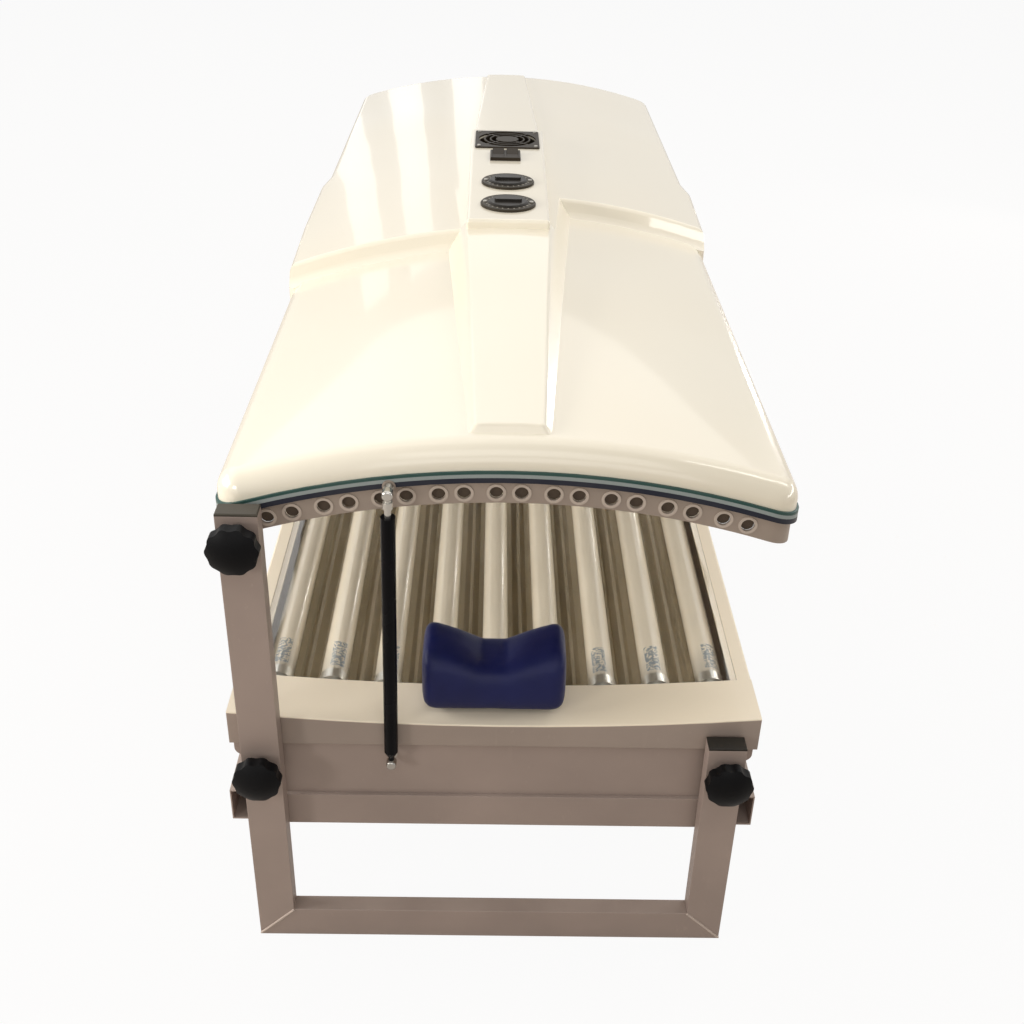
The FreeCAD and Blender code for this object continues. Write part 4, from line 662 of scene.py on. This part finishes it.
# %% Gas strut
plated_eye_z = 0.3165
plated_grey = (0.40, 0.38, 0.35)
strut_black = moulded_plastic("strut_black", (0.002, 0.002, 0.003), 0.24,
                              (0.005, 0.005, 0.006), 400.0, 0.00003, 0.08)
tree, shader, parts = reopen(strut_black)
plated = calc(tree, "LESS_THAN", parts["Z"], plated_eye_z)
paint_over(tree, shader, plated, plated_grey)
tree.links.new(plated, shader.inputs["Metallic"])
print("strut plated below", plated_eye_z, "m")

# %% [markdown]
# ## Lamps and their cover sheet
# A tanning lamp is a glass tube lined with pale phosphor: a chalky cream body under polished
# glass, smoked at its ends. Each bed lamp's printed patch is a soft pale-blue mottle near one
# end, with nothing legible in it. Lamps repeat at one pitch, so a wrapped X tells how far a
# point is from its own lamp's crest.
#
# The cover sheet is clear acrylic. Light has to reach the lamps through it, so for shadow rays
# the sheet is nearly absent: its Alpha drops when the ray is a shadow ray.

# %% Lamp glass
phosphor = (0.92, 0.84, 0.70)
phosphor_deeper = (0.88, 0.795, 0.65)
smoke_grey = (0.40, 0.38, 0.35)
smoke_from, smoke_gain, smoke_most = 0.80, 9.0, 0.45


def lamp_glass(name):
    """Phosphor-lined glass with smoky ends, its shader left open for a printed patch."""
    material, tree, shader, place = start_finish(
        name, phosphor, 0.35, Coat_Weight=1.0, Coat_Roughness=0.03, Specular_IOR_Level=0.5)
    patches = effect(tree, mottle_group, place, Scale=9.0, Contrast=1.2)
    paint(tree, shader, patches, phosphor, phosphor_deeper)
    from_middle = calc(tree, "ABSOLUTE", parts_of(tree, place)["Y"])
    towards_end = calc(tree, "MAXIMUM", calc(tree, "SUBTRACT", from_middle, smoke_from), 0.0)
    smoke = calc(tree, "MINIMUM", calc(tree, "MULTIPLY", towards_end, smoke_gain), smoke_most)
    paint_over(tree, shader, smoke, smoke_grey)
    roughened(tree, shader, place, 90.0, 0.00002)
    return material


bed_lamp_glass = lamp_glass("bed_lamp_glass")
canopy_lamp_glass = lamp_glass("canopy_lamp_glass")
print("lamp glass made")

# %% Printed patches
lamp_pitch = 0.075
lamp_middle_x = -0.0065
patch_start_y, patch_end_y = -0.853, -0.798
patch_half_width = 0.0095
patch_wander = 0.008    # how far apart the lamps' patches are turned
fleck_scale, fleck_share, fleck_depth = 420.0, 0.42, 0.75
fleck_blue = (0.14, 0.22, 0.30)

tree, shader, parts = reopen(bed_lamp_glass)
cell = calc(tree, "DIVIDE", calc(tree, "SUBTRACT", parts["X"], lamp_middle_x), lamp_pitch)
lamp_number = calc(tree, "ROUND", cell)
from_crest = calc(tree, "MULTIPLY", calc(tree, "SUBTRACT", cell, lamp_number), lamp_pitch)
chance = add_node(tree, "ShaderNodeTexWhiteNoise", {"noise_dimensions": "1D"},
                  W=lamp_number).outputs["Value"]
shift = calc(tree, "MULTIPLY", calc(tree, "SUBTRACT", chance, 0.5), patch_wander)
across = calc(tree, "ABSOLUTE", calc(tree, "ADD", from_crest, shift))
inside = calc(tree, "LESS_THAN", across, patch_half_width)
inside = calc(tree, "MULTIPLY", inside, calc(tree, "GREATER_THAN", parts["Y"], patch_start_y))
inside = calc(tree, "MULTIPLY", inside, calc(tree, "LESS_THAN", parts["Y"], patch_end_y))
flecks = add_node(tree, "ShaderNodeTexVoronoi", Vector=object_place(tree),
                  Scale=fleck_scale).outputs["Color"]
fleck = add_node(tree, "ShaderNodeSeparateColor", Color=flecks).outputs[0]
inked = calc(tree, "MULTIPLY", inside, calc(tree, "GREATER_THAN", fleck, fleck_share))
paint_over(tree, shader, calc(tree, "MULTIPLY", inked, fleck_depth), fleck_blue)
print("patches", round(patch_end_y - patch_start_y, 3), "m long")

# %% Cover sheet
clear_tint = (0.985, 0.98, 0.96)
shadow_share = 0.92    # how much of the sheet is taken away for light that goes through
cover_sheet, tree, shader, place = start_finish("cover_sheet", clear_tint, 0.02,
                                                Transmission_Weight=1.0, IOR=1.49)
path = add_node(tree, "ShaderNodeLightPath").outputs
for_shadows = calc(tree, "MAXIMUM", path["Is Shadow Ray"], path["Is Diffuse Ray"])
tree.links.new(calc(tree, "MULTIPLY_ADD", for_shadows, -shadow_share, 1.0),
               shader.inputs["Alpha"])
wipes = noise(tree, stretched(tree, place, (1.0, 0.15, 1.0)), 24.0, 4.0)
vary_roughness(tree, shader, calc(tree, "POWER", wipes, 4.0), 0.30, 0.0)
raised(tree, shader, noise(tree, place, 7.0, 1.0), 0.0008)
print("cover sheet made")

# %% [markdown]
# ## Painting the construction
# Every node keeps its own shape. Only the finish in its material slot changes.

# %% Assign finishes


def at_both_ends(*parts):
    """The names of pieces that the head end and the foot end each have."""
    return [f"{end}_{part}" for end in ("head", "foot") for part in parts]


finishes = {
    canopy_cream: ["canopy_shell"],
    bed_cream: ["bed_end_strips", "bed_side_trims"],
    frame_paint: ["bed_rails", "bed_cross_members", "tray_stools",
                  *at_both_ends("tall_post", "short_post", "foot_tube", "end_panel")],
    fascia_paint: ["bed_end_fascias"],
    plate_paint: ["canopy_side_channels", *at_both_ends("end_plate")],
    tray_paint: ["bed_tray"],
    trim_stripes: ["canopy_trim"],
    knob_black: at_both_ends("pivot_knob", "left_knob", "right_knob"),
    cap_black: ["post_caps"],
    console_black: ["fan_guard", "fan_housing", "switch_housing", "left_rocker", "right_rocker",
                    "mains_gland"],
    dial_plate: ["timers"],
    dial_black: ["fan_rotor", *at_both_ends("timer_knob")],
    vent_beige: ["vent_rings"],
    holder_white: ["bed_lamp_holders", "canopy_lamp_holders"],
    bush_nylon: ["bed_bushes", "pivot_bushes"],
    zinc: ["console_screws", "strut_lower_studs"],
    chrome: at_both_ends("strut_rod"),
    cap_aluminium: ["bed_lamp_caps", "canopy_lamp_caps"],
    reflector_metal: ["bed_reflector", "canopy_reflector"],
    strap_metal: ["canopy_cross_straps"],
    strut_black: at_both_ends("strut_cylinder"),
    choke_lacquer: ["bed_chokes", "canopy_chokes"],
    bed_lamp_glass: ["bed_lamp_tubes"],
    canopy_lamp_glass: ["canopy_lamp_tubes"],
    cover_sheet: ["bed_acrylic", "canopy_acrylic"],
}
painted = set()
for material, names in finishes.items():
    for name in names:
        if not nodes[name].data.materials:
            nodes[name].data.materials.append(material)
        for material_slot in nodes[name].material_slots:
            material_slot.material = material
        painted.add(name)
print("painted", len(painted), "nodes, left:", sorted(set(nodes) - painted))

# %% [markdown]
# ## Vent gauze
# Behind each of the canopy's vent rings sits a disc of fine brown gauze that keeps dust out of the
# lamp box. A disc is a filled circle, pulled back a little in its middle, and the weave is a
# pattern of two crossing sets of threads in its material.

# %% Gauze discs
canopy_lamp_count = 9
canopy_lamp_pitch = 0.0681
vent_apart = 0.030
vent_drop = 0.016
gauze_radius = 0.0081
gauze_rings = 3
gauze_face_y = 0.9625
gauze_hollow = 0.0015


def dished_circle(mesh, place):
    """A filled circle with inner rings, each pulled back from the face like a shallow dish."""
    made = bmesh.ops.create_circle(mesh, cap_ends=True, cap_tris=False, segments=20,
                                   radius=gauze_radius, matrix=place)
    face = made["verts"][0].link_faces[0]
    for ring in range(gauze_rings):
        bmesh.ops.inset_region(mesh, faces=[face], thickness=gauze_radius / (gauze_rings + 1.0),
                               depth=0.0)
        lower = place.to_3x3() @ Vector((0.0, 0.0, -gauze_hollow / gauze_rings))
        bmesh.ops.translate(mesh, verts=face.verts, vec=lower)


gauze = bmesh.new()
disc_count = 0
for lamp in range(canopy_lamp_count):
    for side in (-1, 1):
        from_middle = (lamp - canopy_lamp_count // 2) * canopy_lamp_pitch
        vent_x = arch_axis_x + from_middle + side * vent_apart / 2.0
        along_arch = (arch_radius - vent_drop) ** 2 - (vent_x - arch_axis_x) ** 2
        vent_z = arch_axis_z + math.sqrt(along_arch)
        for end in (-1, 1):
            facing = Matrix.Rotation(math.radians(90.0) * -end, 4, "X")
            place = Matrix.Translation((vent_x, end * gauze_face_y, vent_z)) @ facing
            dished_circle(gauze, place)
            disc_count += 1
vent_gauze = new_object("vent_gauze", gauze)
print("gauze discs:", disc_count)

# %% Gauze weave
thread_pitch = 0.0011
gauze_brown, tree, shader, place = start_finish("gauze_brown", (0.085, 0.062, 0.045), 0.6,
                                                Specular_IOR_Level=0.3)
parts = parts_of(tree, place)
waves = []
for along in (parts["X"], parts["Z"]):
    phase = calc(tree, "MULTIPLY", along, 2.0 * math.pi / thread_pitch)
    waves.append(calc(tree, "ABSOLUTE", calc(tree, "SINE", phase)))
thread = calc(tree, "MAXIMUM", *waves)
paint(tree, shader, thread, (0.012, 0.009, 0.007), (0.12, 0.088, 0.064))
raised(tree, shader, thread, 0.0002)
vent_gauze.data.materials.append(gauze_brown)
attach(vent_gauze, "canopy")
print("threads", thread_pitch, "m apart")

# %% [markdown]
# ## Weld beads
# Each end frame's posts are mitred into the tube on the floor and welded across the face. A bead
# is a row of overlapping ripples: a short tube grown ring by ring along the mitre, with every
# second ring a little larger, then ground nearly flush.

# %% Beads
frame_left_x, frame_right_x = -0.3355, 0.3225
tube_size = 0.050
face_y = 1.0075
bead_low_z = 0.0015
bead_top_gap = 0.0005
bead_radius = 0.0021
bead_start_share, bead_waist_share = 0.6, 0.78
bead_ripples = 34


def weld_bead(mesh, start, end):
    """Grow a rippled bead from start to end."""
    line = Vector(end) - Vector(start)
    step = line / (bead_ripples * 2.0)
    turn = line.to_track_quat("Z", "Y").to_matrix().to_4x4()
    place = Matrix.Translation(start) @ turn
    made = bmesh.ops.create_circle(mesh, cap_ends=True, segments=8,
                                   radius=bead_radius * bead_start_share, matrix=place)
    face = made["verts"][0].link_faces[0]
    middle = Vector(start)
    for ring in range(bead_ripples * 2):
        grown = bmesh.ops.extrude_discrete_faces(mesh, faces=[face])
        face = grown["faces"][0]
        bmesh.ops.translate(mesh, verts=face.verts, vec=step)
        middle = middle + step
        wanted = bead_radius * (1.0 if ring % 2 else bead_waist_share)
        now = (face.verts[0].co - middle).length
        for vertex in face.verts:
            vertex.co = middle + (vertex.co - middle) * (wanted / now)


def shade_smooth(piece):
    """Round the look of a piece's faces off."""
    for polygon in piece.data.polygons:
        polygon.use_smooth = True


beads = bmesh.new()
bead_spans = ((frame_left_x, frame_left_x + tube_size), (frame_right_x, frame_right_x - tube_size))
for end in (-1, 1):
    for outer_x, inner_x in bead_spans:
        weld_bead(beads, (outer_x, end * face_y, bead_low_z),
                  (inner_x, end * face_y, tube_size - bead_top_gap))
bmesh.ops.recalc_face_normals(beads, faces=beads.faces)
weld_beads = new_object("weld_beads", beads)
shade_smooth(weld_beads)
weld_beads.data.materials.append(steel_paint("bead_paint", (0.50, 0.42, 0.37), 0.32))
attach(weld_beads, "stand")
print("weld beads:", 2 * len(bead_spans), "of", len(weld_beads.data.polygons), "faces in all")

# %% [markdown]
# ## Corner returns
# At each of the bed's corners a short folded return closes the side, from the end strip down over
# the tray's top edge. It is flush with the fascia and with the long side trim.

# %% Returns
fascia_left_x, fascia_right_x = -0.3565, 0.3435
return_sheet = 0.002
return_start_y, return_end_y = 0.8935, 0.9675
return_low_z, return_high_z = 0.346, 0.381
return_edge = 0.0004

returns = bmesh.new()
return_count = 0
for outer_x, inward in ((fascia_left_x, 1.0), (fascia_right_x, -1.0)):
    for end in (-1, 1):
        made = bmesh.ops.create_cube(returns, size=1.0)
        extent = (return_sheet, return_end_y - return_start_y, return_high_z - return_low_z)
        bmesh.ops.scale(returns, vec=extent, verts=made["verts"])
        centre = (outer_x + inward * return_sheet / 2.0,
                  end * (return_start_y + return_end_y) / 2.0,
                  (return_low_z + return_high_z) / 2.0)
        bmesh.ops.translate(returns, vec=centre, verts=made["verts"])
        return_count += 1
bmesh.ops.bevel(returns, geom=returns.edges[:], offset=return_edge, segments=2, profile=0.5,
                affect="EDGES", material=-1)
corner_returns = new_object("corner_returns", returns)
corner_returns.data.materials.append(fascia_paint)
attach(corner_returns, "stand")
print("corner returns:", return_count)

# %% [markdown]
# ## Side screws
# Two dark pan-head screws hold each corner return to the tray. The head is a disc inset and
# raised into a dome, with a cross pressed into it.

# %% Screws
screw_radius = 0.0042
screw_rise = 0.0019
screw_spots = [(end * reach, 0.352) for end in (-1, 1) for reach in (0.958, 0.918)]
dome_steps = (0.0, 0.45), (0.12, 0.30), (0.22, 0.18), (0.26, 0.07)    # drawn in, and risen
cross_long, cross_short, cross_depth = 0.75, 0.28, 0.6


def pan_screw(mesh, place):
    """A domed screw head with a cross recess, seated on the XY plane of place."""
    made = bmesh.ops.create_circle(mesh, cap_ends=True, segments=16, radius=screw_radius,
                                   matrix=place)
    face = made["verts"][0].link_faces[0]
    up_way = place.to_3x3() @ Vector((0.0, 0.0, 1.0))
    for share, rise in dome_steps:
        face = bmesh.ops.extrude_discrete_faces(mesh, faces=[face])["faces"][0]
        middle = face.calc_center_median()
        for vertex in face.verts:
            vertex.co = middle + (vertex.co - middle) * (1.0 - share)
        bmesh.ops.translate(mesh, verts=face.verts, vec=up_way * screw_rise * rise)
    face = bmesh.ops.extrude_discrete_faces(mesh, faces=[face])["faces"][0]
    middle = face.calc_center_median()
    for index, vertex in enumerate(face.verts):
        arm = cross_long if index % 4 == 0 else cross_short
        vertex.co = middle + (vertex.co - middle) * arm
    face = bmesh.ops.extrude_discrete_faces(mesh, faces=[face])["faces"][0]
    bmesh.ops.translate(mesh, verts=face.verts, vec=up_way * -screw_rise * cross_depth)


screws = bmesh.new()
for side_x, turn in ((fascia_left_x, -90.0), (fascia_right_x, 90.0)):
    outward = Matrix.Rotation(math.radians(turn), 4, "Y")
    for spot_y, spot_z in screw_spots:
        pan_screw(screws, Matrix.Translation((side_x, spot_y, spot_z)) @ outward)
bmesh.ops.recalc_face_normals(screws, faces=screws.faces)
side_screws = new_object("side_screws", screws)
screw_black = drawn_metal("screw_black", (0.13, 0.115, 0.10), 0.34, evenly, 300.0)
side_screws.data.materials.append(screw_black)
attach(side_screws, "stand")
print("side screws:", 2 * len(screw_spots))

# %% [markdown]
# ## Neck pillow
# The pillow is a foam block in a skin of blue vinyl, scooped for the neck. Foam swells against
# its skin, so the edges are full and the faces slightly crowned. The block is cut a little
# small, its scoop pressed in, and then a cloth simulation inflates it to its real size.

# %% Pillow block
pillow_low, pillow_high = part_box("neck_pillow")
pillow_size = pillow_high - pillow_low
pillow_middle = (pillow_low + pillow_high) / 2.0
pillow_swell = 0.005
pillow_edge = 0.014
scoop_depth = 0.027
scoop_half = 0.050
horn_round = 0.011
front_lean = 0.012


def pillow_block():
    """A finely divided block: rounded edges, two soft horns, and a scoop from front to back."""
    block = bmesh.new()
    bmesh.ops.create_cube(block, size=1.0)
    shrunk = [side - 2.0 * pillow_swell for side in pillow_size]
    bmesh.ops.scale(block, vec=shrunk, verts=block.verts)
    bmesh.ops.bevel(block, geom=block.edges[:], offset=pillow_edge, segments=4, profile=0.5,
                    affect="EDGES", material=-1)
    bmesh.ops.subdivide_edges(block, edges=block.edges[:], cuts=4, use_grid_fill=True)
    half_depth = shrunk[1] / 2.0
    half_height = shrunk[2] / 2.0
    for vertex in block.verts:
        scooped = math.exp(-(vertex.co.x / scoop_half) ** 2)
        rise = max(vertex.co.z / half_height, -1.0) * 0.5 + 0.5
        forward = max(half_depth - vertex.co.y, 0.0) / (2.0 * half_depth)
        vertex.co.z -= scooped * scoop_depth * rise ** 1.3
        vertex.co.z -= (1.0 - scooped) * horn_round * forward ** 2.2 * rise ** 2
        vertex.co.y += forward * rise ** 2 * front_lean * (1.0 - 0.5 * scooped)
    return block


pillow = new_object("neck_pillow_vinyl", pillow_block())
print("pillow block", [round(side, 3) for side in pillow_size],
      len(pillow.data.polygons), "faces")

# %% Inflate the pillow
voxel = 0.0045
pillow_pressure = 4.0
skin_stretch, skin_bend = 22.0, 6.0
rest_frame, last_frame = 1, 20


def apply_modifiers(piece):
    """Bake a piece's live modifiers into its mesh."""
    graph = bpy.context.evaluated_depsgraph_get()
    made = bpy.data.meshes.new_from_object(piece.evaluated_get(graph))
    piece.modifiers.clear()
    old = piece.data
    piece.data = made
    bpy.data.meshes.remove(old)


def inflate(piece, pressure, limit):
    """Blow a closed mesh up like a filled skin; no point moves further than the limit."""
    start = [vertex.co.copy() for vertex in piece.data.vertices]
    cloth = piece.modifiers.new("cloth", "CLOTH")
    cloth.settings.use_pressure = True
    cloth.settings.uniform_pressure_force = pressure
    cloth.settings.effector_weights.gravity = 0.0
    cloth.settings.tension_stiffness = skin_stretch
    cloth.settings.compression_stiffness = skin_stretch
    cloth.settings.bending_stiffness = skin_bend
    cloth.point_cache.frame_start = rest_frame
    cloth.point_cache.frame_end = last_frame
    for step in range(rest_frame, last_frame + 1):
        bpy.context.scene.frame_set(step)
    apply_modifiers(piece)
    for vertex, before in zip(piece.data.vertices, start):
        moved = vertex.co - before
        if moved.length > limit:
            vertex.co = before + moved.normalized() * limit
    bpy.context.scene.frame_set(rest_frame)


remesh = pillow.modifiers.new("remesh", "REMESH")
remesh.mode = "VOXEL"
remesh.voxel_size = voxel
apply_modifiers(pillow)
inflate(pillow, pillow_pressure, pillow_swell)
soften = pillow.modifiers.new("soften", "SMOOTH")
soften.factor = 0.5
soften.iterations = 6
round_off = pillow.modifiers.new("round_off", "SUBSURF")
round_off.levels = 1
round_off.render_levels = 1
apply_modifiers(pillow)
print("pillow skin:", len(pillow.data.polygons), "faces")

# %% Fit the pillow
stand_proud = Vector((0.003, 0.010, 0.009))    # how far the filled skin is larger than its block
corners = [vertex.co for vertex in pillow.data.vertices]
blown_low = Vector([min(corner[axis] for corner in corners) for axis in range(3)])
blown_high = Vector([max(corner[axis] for corner in corners) for axis in range(3)])
wanted_size = pillow_size + stand_proud
wanted_middle = pillow_middle + Vector((0.0, -stand_proud.y / 2.0, stand_proud.z / 2.0))
fit = [wanted_size[axis] / (blown_high - blown_low)[axis] for axis in range(3)]
pillow.data.transform(Matrix.Translation(-(blown_low + blown_high) / 2.0))
pillow.data.transform(Matrix.Diagonal((*fit, 1.0)))
pillow.data.transform(Matrix.Translation(wanted_middle))
shade_smooth(pillow)
print("pillow fitted, factors", [round(factor, 3) for factor in fit])

# %% Vinyl
vinyl_blue = (0.004, 0.006, 0.050)
vinyl_lighter = (0.008, 0.012, 0.085)
pore_scale, pore_top = 620.0, 0.25
crease_scale, crease_share = 38.0, 3.0
pillow_vinyl, tree, shader, place = start_finish("pillow_vinyl", vinyl_blue, 0.36,
                                                 Specular_IOR_Level=0.25)
patches = effect(tree, mottle_group, place, Scale=16.0, Contrast=1.3)
paint(tree, shader, patches, vinyl_blue, vinyl_lighter)
vary_roughness(tree, shader, patches, 0.12, 0.36)
pores = add_node(tree, "ShaderNodeTexVoronoi", {"feature": "DISTANCE_TO_EDGE"}, Vector=place,
                 Scale=pore_scale).outputs["Distance"]
pore_height = calc(tree, "MINIMUM", pores, pore_top)
creases = noise(tree, place, crease_scale, 4.0)
skin = calc(tree, "MULTIPLY_ADD", creases, crease_share, pore_height)
raised(tree, shader, skin, 0.00035, 0.8)
pillow.data.materials.append(pillow_vinyl)
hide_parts("neck_pillow")
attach(pillow, frame["nodes"]["neck_pillow"]["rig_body"])
